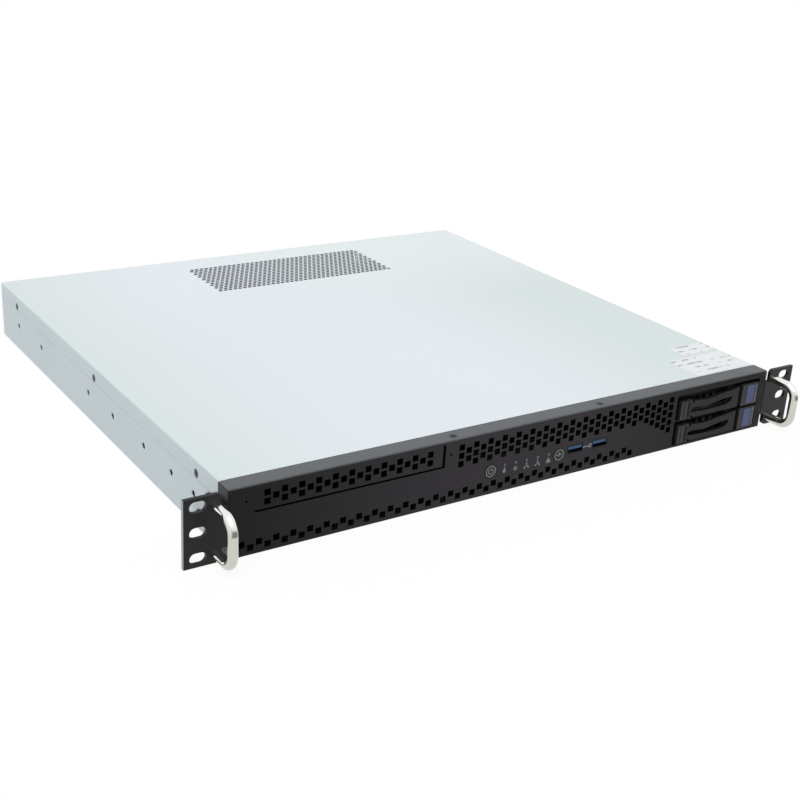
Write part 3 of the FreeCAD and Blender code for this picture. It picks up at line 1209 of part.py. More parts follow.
def riser_card():
    """The card that turns the expansion slot on its side, standing in its socket on the board."""
    y1 = REAR_INNER - RISER_BACK
    y0 = y1 - RISER_LENGTH
    half = RISER_SOCKET_WIDTH / 2
    top = BOARD_TOP + RISER_SOCKET_HEIGHT
    level = (CARD_LOW + CARD_HIGH) / 2
    socket = box(RISER_X - half, RISER_X + half, y0, y1, BOARD_TOP, top)
    card = box(RISER_X - CIRCUIT_BOARD / 2, RISER_X + CIRCUIT_BOARD / 2, y0, y1, top, CARD_HIGH)
    slot = box(RISER_X, RISER_X + RISER_SOCKET_HEIGHT, y0 + half, y1 - half, level - half, level + half)
    return fuse([socket, card, slot])


def slot_cover():
    """Blanking plate inside the expansion opening, with a row of air slots."""
    rim = CARD_RIM
    plate = box(CARD_LEFT - rim, CARD_RIGHT + rim, REAR_INNER - SHEET, REAR_INNER, CARD_LOW - rim, CARD_HIGH + rim)
    count = 12
    pitch = CARD_WIDTH / count
    cuts = [box(CARD_LEFT + (step + 0.25) * pitch, CARD_LEFT + (step + 0.75) * pitch, REAR_INNER - 2, REAR,
                CARD_LOW + rim, CARD_HIGH - rim) for step in range(count)]
    return plate.cut(cuts)


# ---- Power supply -----------------------------------------------------------------------------
def psu_case():
    """A closed power block whose rear chamber holds the fan and the mains inlet."""
    z0, z1 = FLOOR, FLOOR + PSU_HEIGHT
    chamber = max(PSU_FAN_DEPTH, INLET_DEPTH) + 12
    case = box(PSU_LEFT, PSU_RIGHT, PSU_FRONT, REAR_INNER, z0, z1)
    room = box(PSU_LEFT + PSU_SHEET, PSU_RIGHT - PSU_SHEET, REAR_INNER - chamber, REAR_INNER - PSU_SHEET,
               z0 + PSU_SHEET, z1 - PSU_SHEET)
    inlet = box(INLET_X - INLET_WIDTH / 2, INLET_X + INLET_WIDTH / 2, REAR_INNER - 2, REAR_INNER + 1,
                INLET_Z - INLET_HEIGHT / 2, INLET_Z + INLET_HEIGHT / 2)
    guard = fan_guard_cuts(PSU_FAN_X, psu_fan_level())
    return case.cut([room, inlet] + guard)


def psu_fan_level():
    return FLOOR + PSU_HEIGHT / 2


def fan_guard_cuts(x, z):
    """Punched slots in front of the fan: four quadrants, each of two bands."""
    cuts = []
    y0, y1 = REAR_INNER - 2, REAR_INNER + 1
    cross = group([box(x - 1.2, x + 1.2, y0 - 1, y1 + 1, z - 30, z + 30),
                   box(x - 30, x + 30, y0 - 1, y1 + 1, z - 1.2, z + 1.2)])
    for outer, inner in ((17.2, 12.6), (11.0, 6.4)):
        ring = rod_y(2 * outer, y0, y1, x, z).cut(rod_y(2 * inner, y0 - 1, y1 + 1, x, z))
        cuts += ring.cut(cross).Solids
    return cuts


def psu_inlet():
    """The mains inlet: a moulded socket with three blades, its rim on the supply's rear face."""
    x0, x1 = INLET_X - INLET_WIDTH / 2, INLET_X + INLET_WIDTH / 2
    z0, z1 = INLET_Z - INLET_HEIGHT / 2, INLET_Z + INLET_HEIGHT / 2
    y1 = REAR_INNER
    body = box(x0, x1, y1 - INLET_DEPTH, y1 + INLET_RIM, z0, z1)
    rim = box(x0 - INLET_RIM, x1 + INLET_RIM, y1, y1 + INLET_RIM, z0 - INLET_RIM, z1 + INLET_RIM)
    hollow = box(x0 + 1.5, x1 - 1.5, y1 - INLET_DEPTH + 2.5, y1 + INLET_RIM + 1, z0 + 1.5, z1 - 1.5)
    tips = y1 - 5
    blades = [box(INLET_X + dx - 1, INLET_X + dx + 1, y1 - INLET_DEPTH + 1, tips, INLET_Z + dz - 2, INLET_Z + dz + 2)
              for dx, dz in ((-7, -1.5), (0, 2.5), (7, -1.5))]
    return fuse([fuse([body, rim]).cut(hollow)] + blades)


def psu_fan_back():
    return REAR_INNER - PSU_SHEET


# ---- All nodes --------------------------------------------------------------------------------
def nodes():
    """Every sub-part by name."""
    ear = right_ear()
    handle = right_handle()
    parts = {
        "base_pan": base_pan(), "front_bezel": front_bezel(), "front_rail": front_rail(),
        "slim_bay_cover": slim_bay_cover(), "slim_bay_bracket": slim_bay_bracket(),
        "right_ear": ear, "left_ear": mirrored(ear),
        "right_handle": handle, "left_handle": mirrored(handle),
        "handle_screws": handle_screws(), "ear_screws": ear_screws(), "bezel_screws": bezel_screws(),
        "top_cover": top_cover(), "cover_screws": cover_screws(),
        "power_button": button(POWER_X), "id_button": button(ID_X),
        "control_board": control_board(), "control_bracket": control_bracket(),
        "status_light_pipes": status_light_pipes(),
        "front_usb_shells": front_usb_shells(), "front_usb_tongues": front_usb_tongues(),
        "drive_cage": drive_cage(), "backplane": backplane(), "backplane_sockets": backplane_sockets(),
        "fan_bracket": fan_bracket(), "fan_housings": fan_housings(),
        "motherboard": motherboard(), "board_standoffs": board_standoffs(), "board_screws": board_screws(),
        "processor_socket": processor_socket(), "processor_heatsink": processor_heatsink(),
        "chipset_heatsink": chipset_heatsink(), "memory_slots": memory_slots(),
        "memory_modules": memory_modules(), "board_connectors": board_connectors(),
        "io_shield": io_shield(), "network_ports": network_ports(), "rear_usb_ports": rear_usb_ports(),
        "video_port": video_port(), "riser_card": riser_card(), "slot_cover": slot_cover(),
        "psu_case": psu_case(), "psu_inlet": psu_inlet(),
    }
    psu_fan_front = psu_fan_back() - PSU_FAN_DEPTH
    parts["psu_fan_housing"] = fan_housing(PSU_FAN_X, psu_fan_level(), psu_fan_front, PSU_FAN_DEPTH)
    parts["psu_fan_rotor"] = fan_rotor(PSU_FAN_X, psu_fan_level(), psu_fan_front, PSU_FAN_DEPTH)
    for name, x in zip(FAN_NAMES, FAN_ROW_X):
        parts[name + "_fan_rotor"] = fan_rotor(x, FAN_MIDDLE, FAN_FRONT, FAN_DEPTH)
    for name, level in TRAY_LEVELS.items():
        parts[name + "_tray_frame"] = tray_frame(level)
        parts[name + "_tray_lever"] = tray_lever(level)
        parts[name + "_lever_pin"] = lever_pin(level)
        parts[name + "_tray_latch"] = tray_latch(level)
        parts[name + "_light_pipe"] = tray_light_pipe(level)
        parts[name + "_drive"] = drive(level)
    return parts


os.makedirs("parts", exist_ok=True)
for node, shape in nodes().items():
    shape.exportStep("parts/" + node + ".step")
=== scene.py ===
import json
import math

import bpy
import numpy as np
from mathutils import Matrix, Vector


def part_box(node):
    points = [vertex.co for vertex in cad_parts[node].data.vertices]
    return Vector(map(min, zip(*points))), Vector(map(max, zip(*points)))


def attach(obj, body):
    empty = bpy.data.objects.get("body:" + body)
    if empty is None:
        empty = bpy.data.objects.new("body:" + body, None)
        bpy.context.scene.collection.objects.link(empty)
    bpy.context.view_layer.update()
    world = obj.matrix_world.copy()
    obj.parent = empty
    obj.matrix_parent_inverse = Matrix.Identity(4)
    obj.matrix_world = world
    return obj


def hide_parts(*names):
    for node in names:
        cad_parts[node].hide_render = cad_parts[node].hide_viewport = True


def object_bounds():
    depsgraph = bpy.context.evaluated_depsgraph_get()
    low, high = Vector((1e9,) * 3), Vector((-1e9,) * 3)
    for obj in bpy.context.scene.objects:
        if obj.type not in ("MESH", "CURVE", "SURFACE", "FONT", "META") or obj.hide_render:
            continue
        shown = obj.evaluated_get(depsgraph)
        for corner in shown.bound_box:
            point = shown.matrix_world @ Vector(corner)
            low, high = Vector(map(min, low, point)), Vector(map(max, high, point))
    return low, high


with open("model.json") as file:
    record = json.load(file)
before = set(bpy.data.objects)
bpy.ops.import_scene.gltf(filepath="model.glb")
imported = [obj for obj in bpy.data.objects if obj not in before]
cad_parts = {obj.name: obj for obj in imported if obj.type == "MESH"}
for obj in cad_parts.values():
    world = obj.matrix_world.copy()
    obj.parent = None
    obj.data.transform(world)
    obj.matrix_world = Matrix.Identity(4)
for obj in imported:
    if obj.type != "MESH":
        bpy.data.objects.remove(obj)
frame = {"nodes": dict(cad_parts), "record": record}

# Dress of a one-unit rack server. Metres, +Z up, the front bezel faces -Y.

cad_low, cad_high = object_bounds()
NODES = frame["nodes"]
# The case's own box: the pan's, as high as the lid.
case_low, case_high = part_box("base_pan")
case_high = (case_high[0], case_high[1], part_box("top_cover")[1][2])


# ---- Materials ------------------------------------------------------------------------------
# Pairs are the two ends of a gradual change. Lengths are in metres.
NOISE = (0.3, 0.7)             # most of what a cloudy noise reaches
LOOKS = 0.5                    # a face looks along an axis where its normal has more than this
ZINC_BLUE = 1.03               # how much bluer than a plain grey bare zinc is
COAT_MIDDLE = -0.035           # X of the middle of a band of painted light on the case's coat
COAT_DRIFT = (0.04, 0.22)      # off that middle: the coat is painted darker and warmer as shade
COAT_REAR = (0.0, 0.17)        # Y and X where it is painted lighter again
COAT_RIGHT = (-0.08, 0.08)
SKIN = 0.0006                  # faces deeper in the case than this are bare zinc painted dark as shade
PAN_SHADE = (0.03, 0.09)       # from the case's front: where the bezel's shade fades on the pan
# Further in than this from the case's sides, rear and front, the lid's upright faces are no
# longer its own edges but the walls of its vent holes.
LID_SIDE, LID_REAR, LID_FRONT = 0.004, 0.002, 0.010
BEZEL_LEFT = (-0.06, -0.20)    # X where the bezel's coat is painted darker, as shade
BEZEL_RIGHT = (0.04, 0.14)
BEZEL_FOLD = 0.003             # height of the bezel's top fold
BEZEL_SIDE = 0.0003            # just inside the bezel's outer sides
BEZEL_FACE = 0.0001            # just behind its front face
EAR_EDGE = 0.00012             # breadth of the light grey strip along an ear's outer edge
EAR_PLATE = 0.013              # from an ear's front to the part of its flange in the pale coat
TRAY_FACE = (0.0010, 0.0030)   # from the bezel's front: where a tray's frame is painted black as shade


class Finish:
    """A material under construction around one Principled shader."""

    def __init__(self, name, colour, roughness, metallic=0.0, gloss=0.5):
        self.material = bpy.data.materials.new(name)
        self.material.use_nodes = True
        self.tree = self.material.node_tree
        self.shader = self.tree.nodes["Principled BSDF"]
        self.material.diffuse_color = (*colour, 1)
        self.set(self.shader, **{"Base Color": (*colour, 1), "Roughness": roughness,
                                 "Metallic": metallic, "Specular IOR Level": gloss})
        self.colour, self.roughness = colour, roughness
        self.place = self.add("ShaderNodeTexCoord").outputs["Object"]

    def feed(self, socket, value):
        """Link another node's output to a socket, or set the socket to a plain value."""
        if isinstance(value, bpy.types.NodeSocket):
            self.tree.links.new(value, socket)
        else:
            socket.default_value = value

    def set(self, node, **values):
        """Feed a node's sockets by their names."""
        for key, value in values.items():
            self.feed(node.inputs[key], value)

    def add(self, kind, attributes=(), **values):
        """A new node with its own attributes and its sockets' values."""
        node = self.tree.nodes.new(kind)
        for key, value in dict(attributes).items():
            setattr(node, key, value)
        self.set(node, **values)
        return node

    def math(self, operation, *values):
        """One step of arithmetic."""
        node = self.add("ShaderNodeMath", {"operation": operation})
        for socket, value in zip(node.inputs, values):
            self.feed(socket, value)
        return node.outputs[0]

    def size(self, value):
        """The value without its sign."""
        return self.math("ABSOLUTE", value)

    def below(self, value, limit):
        """1 where the value is under the limit, and 0 elsewhere."""
        return self.math("LESS_THAN", value, limit)

    def above(self, value, limit):
        """1 where the value is over the limit, and 0 elsewhere."""
        return self.math("GREATER_THAN", value, limit)

    def product(self, first, *others):
        """Shares multiplied together: 1 only where all of them are 1."""
        for other in others:
            first = self.math("MULTIPLY", first, other)
        return first

    def axis(self, number):
        """One of the object's own coordinates, in metres."""
        return self.add("ShaderNodeSeparateXYZ", Vector=self.place).outputs[number]

    def facing(self, number):
        """How far a face looks along one of the object's own axes, from -1 to 1."""
        normal = self.add("ShaderNodeTexCoord").outputs["Normal"]
        return self.add("ShaderNodeSeparateXYZ", Vector=normal).outputs[number]

    def noise(self, scale, detail=3.0, stretch=(1, 1, 1)):
        """Cloudy value about 0.5; scale is in waves a metre, times the stretch of each axis."""
        place = self.add("ShaderNodeMapping", Vector=self.place, Scale=stretch).outputs["Vector"]
        return self.add("ShaderNodeTexNoise", Vector=place, Scale=scale, Detail=detail).outputs[0]

    def ramp(self, value, start, end, low=0.0, high=1.0, kind="LINEAR"):
        """Low up to the start, high past the end, and a straight or smooth climb between them."""
        node = self.add("ShaderNodeMapRange", {"interpolation_type": kind}, Value=value)
        self.set(node, **{"From Min": start, "From Max": end, "To Min": low, "To Max": high})
        return node.outputs[0]

    def tint(self, share, other):
        """Mix another colour over what the shader's base colour has so far."""
        node = self.add("ShaderNodeMix", {"data_type": "RGBA"})
        factor, under, over = node.inputs[0], node.inputs[6], node.inputs[7]
        base = self.shader.inputs["Base Color"]
        self.feed(under, base.links[0].from_socket if base.links else base.default_value)
        self.feed(over, (*other, 1))
        self.feed(factor, share)
        self.feed(base, node.outputs[2])
        return self

    def clouds(self, scale, spread, stretch=(1, 1, 1)):
        """Slow change of lightness: the colour wanders by the spread, a share of itself."""
        dark = tuple(c * (1 - spread) for c in self.colour)
        light = tuple(min(1, c * (1 + spread)) for c in self.colour)
        self.shader.inputs["Base Color"].default_value = (*dark, 1)
        return self.tint(self.ramp(self.noise(scale, 3.0, stretch), *NOISE), light)

    def patchy(self, scale, spread, stretch=(1, 1, 1)):
        """Roughness that wanders by the spread round its value."""
        value = self.noise(scale, 2.0, stretch)
        rough = self.ramp(value, *NOISE, self.roughness - spread, self.roughness + spread)
        self.feed(self.shader.inputs["Roughness"], rough)
        return self

    def relief(self, height, distance, strength):
        """Bump of a height field."""
        node = self.add("ShaderNodeBump", Height=height, Strength=strength, Distance=distance)
        self.feed(self.shader.inputs["Normal"], node.outputs["Normal"])
        return self

    def grain(self, scale, distance, strength):
        """Bump of fine noise."""
        return self.relief(self.noise(scale, 2.0), distance, strength)


def coated_steel(name="coated_steel"):
    """Pale blue-grey coat with an orange-peel skin.

    It is faintly cloudy. As painted light, it is darker and warmer on both sides of a lighter band
    left of the middle, and lighter again at the right of the rear. Faces that look to the sides
    are a little bluer.
    """
    steel = Finish(name, (0.765, 0.820, 0.862), 0.42).clouds(5, 0.010)
    # Painted light: darker and warmer off a band left of the middle, lighter at the rear right.
    off_middle = steel.size(steel.math("SUBTRACT", steel.axis(0), COAT_MIDDLE))
    steel.tint(steel.ramp(off_middle, *COAT_DRIFT, kind="SMOOTHSTEP"), (0.678, 0.752, 0.752))
    painted_rear_light = steel.product(steel.ramp(steel.axis(1), *COAT_REAR, kind="SMOOTHSTEP"),
                               steel.ramp(steel.axis(0), *COAT_RIGHT, kind="SMOOTHSTEP"))
    steel.tint(painted_rear_light, (0.765, 0.832, 0.838))
    side = steel.ramp(steel.size(steel.facing(0)), LOOKS, 0.9)
    steel.tint(side, (0.690, 0.790, 0.825)).patchy(14, 0.04)
    return steel.grain(1400, 0.00002, 0.35)


def inside(finish, grey, share=1.0):
    """Bare zinc painted dark as shade on every face that lies further in than the case's outer
    skin, or a share of it.
    """
    x, y, z = (finish.axis(number) for number in range(3))
    half = (case_high[0] - case_low[0]) / 2 - SKIN
    within = finish.product(finish.below(finish.size(x), half),
                            finish.above(z, case_low[2] + SKIN),
                            finish.below(y, case_high[1] - SKIN),
                            finish.below(z, case_high[2] - SKIN), share)
    # Painted shade: faces inside are given a dark zinc grey.
    return finish.tint(within, (grey, grey, grey * ZINC_BLUE))


def pan_steel():
    """The case's coat outside and bare zinc painted dark as shade inside, with darker painted
    shade behind the bezel.
    """
    steel = inside(coated_steel("pan_steel"), 0.17)
    start, end = (case_low[1] + reach for reach in PAN_SHADE)
    # Painted shade: nearly black behind the bezel, fading further back.
    return inside(steel, 0.03, steel.ramp(steel.axis(1), start, end, 1.0, 0.0)).material


def lid_steel():
    """The case's coat, with bare zinc painted dark as shade inside, and painted shade on the
    punched walls of the vent holes.
    """
    steel = inside(coated_steel("lid_steel"), 0.15)
    # Painted shade: the punched walls of the vent holes are dark grey.
    walls = steel.product(steel.below(steel.size(steel.facing(2)), LOOKS),
                          steel.below(steel.size(steel.axis(0)), case_high[0] - LID_SIDE),
                          steel.below(steel.axis(1), case_high[1] - LID_REAR),
                          steel.above(steel.axis(1), case_low[1] + LID_FRONT))
    return steel.tint(walls, (0.265, 0.284, 0.335)).material


def plated_steel():
    """Bare zinc plate for inner brackets: spangles a few millimetres across."""
    steel = Finish("plated_steel", (0.52, 0.53, 0.54), 0.38, 0.7)
    cells = steel.add("ShaderNodeTexVoronoi", Vector=steel.place, Scale=160.0)
    steel.tint(steel.ramp(cells.outputs["Distance"], 0.0, 0.8, 0.0, 0.35), (0.38, 0.39, 0.40))
    return steel.patchy(90, 0.08).material


def black_coat(name, colour, roughness, gloss):
    """Fine-textured black powder coat."""
    coat = Finish(name, colour, roughness, gloss=gloss).clouds(20, 0.10).patchy(45, 0.04)
    return coat.grain(1800, 0.00004, 0.4)


def bezel_coat():
    """Black coat, painted darker as shade to the left and right of its middle, greyer on the outer
    sides, with a painted highlight on the top fold, and painted black shade on the walls of its
    holes."""
    (_, front, _), (side, _, top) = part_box("front_bezel")
    coat = black_coat("bezel_black", (0.0270, 0.0232, 0.0275), 0.42, 0.18)
    # Painted shade: darker to the left and right of the middle.
    coat.tint(coat.ramp(coat.axis(0), *BEZEL_LEFT), (0.0050, 0.0048, 0.0052))
    coat.tint(coat.ramp(coat.axis(0), *BEZEL_RIGHT), (0.0052, 0.0047, 0.0056))
    coat.tint(coat.ramp(coat.size(coat.facing(0)), LOOKS, 0.95), (0.034, 0.037, 0.040))
    # Painted shade: black on the walls of the holes.
    painted_hole_shade = coat.product(coat.below(coat.axis(2), top - BEZEL_FOLD),
                              coat.above(coat.axis(1), front + BEZEL_FACE),
                              coat.below(coat.size(coat.axis(0)), side - BEZEL_SIDE))
    coat.tint(painted_hole_shade, (0.004, 0.004, 0.004))
    # Painted highlight: the top fold is paler where it looks up.
    fold = coat.product(coat.ramp(coat.facing(2), 0.45, 0.98),
                        coat.above(coat.axis(2), top - BEZEL_FOLD))
    return coat.tint(fold, (0.118, 0.126, 0.132)).material


def ear_coat():
    """Black coat on thick plate, light grey along its outer edge; the flange that lies along the
    case has the case's pale coat."""
    coat = black_coat("ear_black", (0.008, 0.008, 0.009), 0.42, 0.30)
    edge = coat.above(coat.size(coat.axis(0)), cad_high[0] - EAR_EDGE)
    coat.tint(edge, (0.42, 0.45, 0.46))
    flange = coat.above(coat.axis(1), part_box("left_ear")[0][1] + EAR_PLATE)
    return coat.tint(flange, (0.62, 0.68, 0.69)).material


def chrome():
    """Nickel-toned chrome with a painted highlight where the bar looks up, one painted dark
    reflection at the front of its upper bend, and polishing lines along the bar."""
    metal = Finish("handle_chrome", (0.60, 0.61, 0.545), 0.10, 1.0)
    # Painted highlight: white where the bar looks up.
    metal.tint(metal.ramp(metal.facing(2), 0.10, 0.55), (1.0, 1.0, 0.97))
    # Painted reflection: dark at the front of the upper bend.
    painted_dark_reflection = metal.product(metal.ramp(metal.facing(2), 0.03, 0.08),
                          metal.ramp(metal.facing(2), 0.26, 0.42, 1.0, 0.0),
                          metal.ramp(metal.facing(1), -0.90, -0.72, 1.0, 0.0))
    return metal.tint(painted_dark_reflection, (0.20, 0.20, 0.18)).patchy(60, 0.03, (1, 1, 0.2)).material


def screw_metal(name, colour, roughness):
    """Turned metal with a fine grain."""
    metal = Finish(name, colour, roughness, 0.9)
    return metal.patchy(500, 0.06).grain(2500, 0.00002, 0.3).material


def moulded(name, colour, roughness, gloss=0.5):
    """Spark-eroded moulded plastic."""
    plastic = Finish(name, colour, roughness, gloss=gloss).clouds(40, 0.06).patchy(80, 0.05)
    return plastic.grain(1600, 0.00003, 0.45)


def milky():
    """Smoked light pipe, a little frosted."""
    pipe = Finish("light_clear", (0.155, 0.160, 0.175), 0.30)
    pipe.shader.inputs["Transmission Weight"].default_value = 0.35
    return pipe.clouds(90, 0.25).patchy(120, 0.06).material


def circuit(name, colour):
    """Solder mask over copper: straight tracks in two directions and small pads."""
    board = Finish(name, colour, 0.38)
    brick = board.add("ShaderNodeTexBrick", {"offset": 0.37, "squash": 1.6}, Vector=board.place,
                      Scale=210.0)
    brick.inputs["Mortar Size"].default_value = 0.035
    track = brick.outputs["Fac"]
    board.tint(board.ramp(track, 0, 1, 0.0, 0.5), tuple(min(1, c * 2.1) for c in colour))
    dots = board.add("ShaderNodeTexVoronoi", Vector=board.place, Scale=330.0)
    pads = board.ramp(dots.outputs["Distance"], 0.10, 0.14, 1.0, 0.0)
    return board.tint(pads, (0.55, 0.52, 0.40)).relief(track, 0.00003, 0.4).material


def sink_metal():
    """Extruded aluminium, drawn lines along the fins."""
    along_fins = (1, 0.05, 1)
    metal = Finish("sink_aluminium", (0.62, 0.63, 0.64), 0.30, 0.9)
    return metal.clouds(300, 0.10, along_fins).patchy(200, 0.07, along_fins).material


def cast_metal():
    """Die-cast drive lid: even fine pebbling; its forward end is painted black as shade."""
    metal = Finish("drive_metal", (0.46, 0.47, 0.48), 0.40, 0.7).clouds(60, 0.06).patchy(120, 0.05)
    # Painted shade: black on the end that faces forward.
    metal.tint(metal.below(metal.facing(1), -LOOKS), (0.012, 0.012, 0.012))
    return metal.grain(900, 0.00003, 0.5).material


def tray_plastic():
    """Dark grey moulded frame, painted black as shade where it lies behind the front face."""
    plastic = moulded("tray_grey", (0.030, 0.028, 0.030), 0.44, 0.35)
    start, end = (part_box("front_bezel")[0][1] + reach for reach in TRAY_FACE)
    # Painted shade: black behind the front face.
    return plastic.tint(plastic.ramp(plastic.axis(1), start, end), (0.004, 0.004, 0.005)).material


def latch_plastic():
    """Blue-grey moulded latch with more violet clouds."""
    plastic = Finish("latch_blue", (0.054, 0.090, 0.188), 0.45)
    plastic.tint(plastic.ramp(plastic.noise(130, 1.0), 0.4, 0.65), (0.066, 0.080, 0.200))
    return plastic.patchy(80, 0.05).grain(1600, 0.00003, 0.45).material


def label_paper():
    """White label with rows of broken grey dashes and no lettering."""
    paper = Finish("label_white", (0.80, 0.82, 0.83), 0.38)
    rows = paper.add("ShaderNodeTexWave", {"wave_type": "BANDS", "bands_direction": "Y"},
                     Vector=paper.place, Scale=44.0, Distortion=0.0)
    ruled = paper.ramp(rows.outputs["Fac"], 0.70, 0.90)
    broken = paper.ramp(paper.noise(150, 2.0, (1, 0.35, 1)), 0.48, 0.56, 0.0, 0.75)
    return paper.tint(paper.product(ruled, broken), (0.24, 0.25, 0.28)).patchy(60, 0.05).material


PLASTICS = {  # colour, roughness, gloss
    "control_black": ((0.012, 0.012, 0.013), 0.42, 0.25),
    "lever_black": ((0.0105, 0.0100, 0.0120), 0.42, 0.22),
    # recess_black is the painted shade of the screws' cross recesses.
    "recess_black": ((0.006, 0.006, 0.007), 0.6, 0.2),
    "fan_black": ((0.022, 0.022, 0.023), 0.45, 0.5),
    "usb_blue": ((0.008, 0.072, 0.190), 0.40, 0.5),
    "connector_white": ((0.62, 0.60, 0.54), 0.45, 0.5),
    "print_white": ((0.31, 0.33, 0.33), 0.5, 0.5),
}
MATERIALS = {
    "case_steel": coated_steel().material,
    "pan_steel": pan_steel(),
    "lid_steel": lid_steel(),
    "plated_steel": plated_steel(),
    "bezel_black": bezel_coat(),
    "ear_black": ear_coat(),
    "inner_black": black_coat("inner_black", (0.010, 0.010, 0.011), 0.5, 0.2).material,
    "handle_chrome": chrome(),
    "screw_black": screw_metal("screw_black", (0.05, 0.05, 0.055), 0.35),
    "screw_steel": screw_metal("screw_steel", (0.60, 0.61, 0.62), 0.30),
    "brass": screw_metal("brass", (0.62, 0.47, 0.22), 0.30),
    "drive_metal": cast_metal(),
    "sink_aluminium": sink_metal(),
    "board_green": circuit("board_green", (0.012, 0.085, 0.035)),
    "tray_grey": tray_plastic(),
    "latch_blue": latch_plastic(),
    "light_clear": milky(),
    "label_white": label_paper(),
}
MATERIALS.update({name: moulded(name, *look).material for name, look in PLASTICS.items()})


def paint(piece, finish):
    """Fill every material slot of an object with one finish."""
    if not piece.material_slots:
        piece.data.materials.append(MATERIALS[finish])
    for place in piece.material_slots:
        place.material = MATERIALS[finish]


# CAD nodes keep their mesh; each takes the finish of its slot in the record. The exceptions are
# the pan, the levers, and the brackets seen through the bezel's holes, painted black as shade.
for part in frame["record"]["subparts"]:
    paint(NODES[part["node"]], part["material_slot"])
for finish, names in (("pan_steel", ("base_pan",)),
                      ("lever_black", ("upper_tray_lever", "lower_tray_lever")),
                      # Painted shade: brackets behind the bezel's holes are black.
                      ("inner_black", ("slim_bay_bracket", "control_bracket", "front_rail",
                                       "drive_cage"))):
    for node in names:
        paint(NODES[node], finish)


# ---- New surfaces ---------------------------------------------------------------------------
SMOOTH_UP_TO = math.radians(32)  # edges that fold more than this stay sharp


def surface(name, vertices, faces, body, finish, smooth=False):
    """One mesh piece from an array of points and blocks of face index rows."""
    rows = [tuple(row) for block in faces for row in block.tolist()]
    mesh = bpy.data.meshes.new(name)
    mesh.from_pydata(np.asarray(vertices).tolist(), [], rows)
    mesh.validate()
    if smooth:
        mesh.shade_smooth()
        mesh.set_sharp_from_angle(angle=SMOOTH_UP_TO)
    else:
        mesh.shade_flat()
    piece = bpy.data.objects.new(name, mesh)
    bpy.context.collection.objects.link(piece)
    paint(piece, finish)
    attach(piece, body)
    return piece


# ---- The lid --------------------------------------------------------------------------------
LID_SHEET, LID_BEND = 0.0008, 0.0012                     # thickness and outer bend radius
BEND_POINTS = 7
VENT_PITCH, VENT_ROW, VENT_HOLE = 0.00429, 0.0039, 0.0035
VENT_WIDTH, VENT_DEPTH = 0.1631, 0.0625
VENT_FROM_BOARD, VENT_FROM_REAR = 0.0055, 0.0255         # from the board's left, the lid's rear
VENT_SIDES = 12
SCREW_HEAD, SCREW_SHANK = 0.0028, 0.0015                 # radii of a flush side screw
SCREW_SIDES = 16
HEAD_ROOM = 1.1                                          # free cell round a head, in head radii
HEAD_CELL = 1.5
FLANGE_ROOM = 1.15
SAME = 1e-8                                              # stations closer than this are one


def collar(border, hole, shares):
    """Triangles between each border polygon and the finer hole polygon inside it.

    Both are index arrays, one row a hole. Shares says how many sides of the hole lie before each
    side of the border: the first half of them fans from the side's start, the rest from its end,
    and one triangle bridges them.
    """
    sides = border.shape[1]
    blocks, first = [], 0
    for side, share in enumerate(shares):
        start, end = border[:, side], border[:, (side + 1) % sides]
        ring = [hole[:, (first + step) % hole.shape[1]] for step in range(share + 1)]
        first += share
        middle = share // 2
        for step in range(share):
            corner = start if step < middle else end
            blocks.append(np.stack([corner, ring[step + 1], ring[step]], axis=1))
        blocks.append(np.stack([start, end, ring[middle]], axis=1))
    return blocks


def vent_stations(rear):
    """Cell borders of the vent: half a pitch apart along X and a row apart along Y, as many as
    fit, with what is left over shared out to both ends."""
    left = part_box("motherboard")[0][0] + VENT_FROM_BOARD
    near = rear - VENT_FROM_REAR - VENT_DEPTH
    columns, rows = int(VENT_WIDTH / VENT_PITCH), int(VENT_DEPTH / VENT_ROW)
    xs = np.arange(2 * columns + 1) * VENT_PITCH / 2
    ys = np.arange(rows + 1) * VENT_ROW
    return (left + (VENT_WIDTH - columns * VENT_PITCH) / 2 + xs,
            near + (VENT_DEPTH - rows * VENT_ROW) / 2 + ys)


def stations_round(y, vent_ys):
    """Four stations that enclose a screw: rows of the vent where it passes the screw, or else
    even thirds."""
    before = np.flatnonzero(vent_ys < y - HEAD_ROOM * SCREW_HEAD)
    if len(before) and before[-1] + 3 < len(vent_ys):
        return vent_ys[before[-1]:before[-1] + 4]
    return np.linspace(y - HEAD_CELL * SCREW_HEAD, y + HEAD_CELL * SCREW_HEAD, 4)


def lid_section(low, high, flange_top, vent_xs, inset):
    """Points (x, z) across the lid, moved inwards by the inset: up the left flange, round a
    quarter circle, over the vent's stations, and the first two again in mirror image."""
    radius = LID_BEND - inset
    turn = np.linspace(0, math.pi / 2, BEND_POINTS)
    bend = np.stack([low[0] + LID_BEND - radius * np.cos(turn),
                     high[2] - LID_BEND + radius * np.sin(turn)], axis=1)
    left = np.vstack([[(low[0] + inset, low[2]), (low[0] + inset, flange_top)], bend])
    over = np.stack([vent_xs, np.full(len(vent_xs), high[2] - inset)], axis=1)
    return np.vstack([left, over, left[::-1] * (-1, 1) + (low[0] + high[0], 0)])


def vent_rings(outer, ys, first_u, first_j, columns, rows, top):
    """The vent's blocks and the rings of points round its holes.

    A block is two cells wide, and every other row is shifted by one cell. Each ring is a circle
    about its block's centre: x plus r cos t, y plus r sin t.
    """
    starts = []
    for row in range(rows):
        us = first_u + np.arange(columns - row % 2) * 2 + row % 2
        starts.append(np.stack([us, np.full_like(us, first_j + row)], axis=1))
    u, j = np.concatenate(starts).T
    turn = np.radians(-150 + 360 / VENT_SIDES * np.arange(VENT_SIDES))
    ring = np.empty((len(u), VENT_SIDES, 3))
    ring[..., 0] = (outer[u, :1] + outer[u + 2, :1]) / 2 + VENT_HOLE / 2 * np.cos(turn)
    ring[..., 1] = ((ys[j] + ys[j + 1]) / 2)[:, None] + VENT_HOLE / 2 * np.sin(turn)
    ring[..., 2] = top
    return u, j, ring


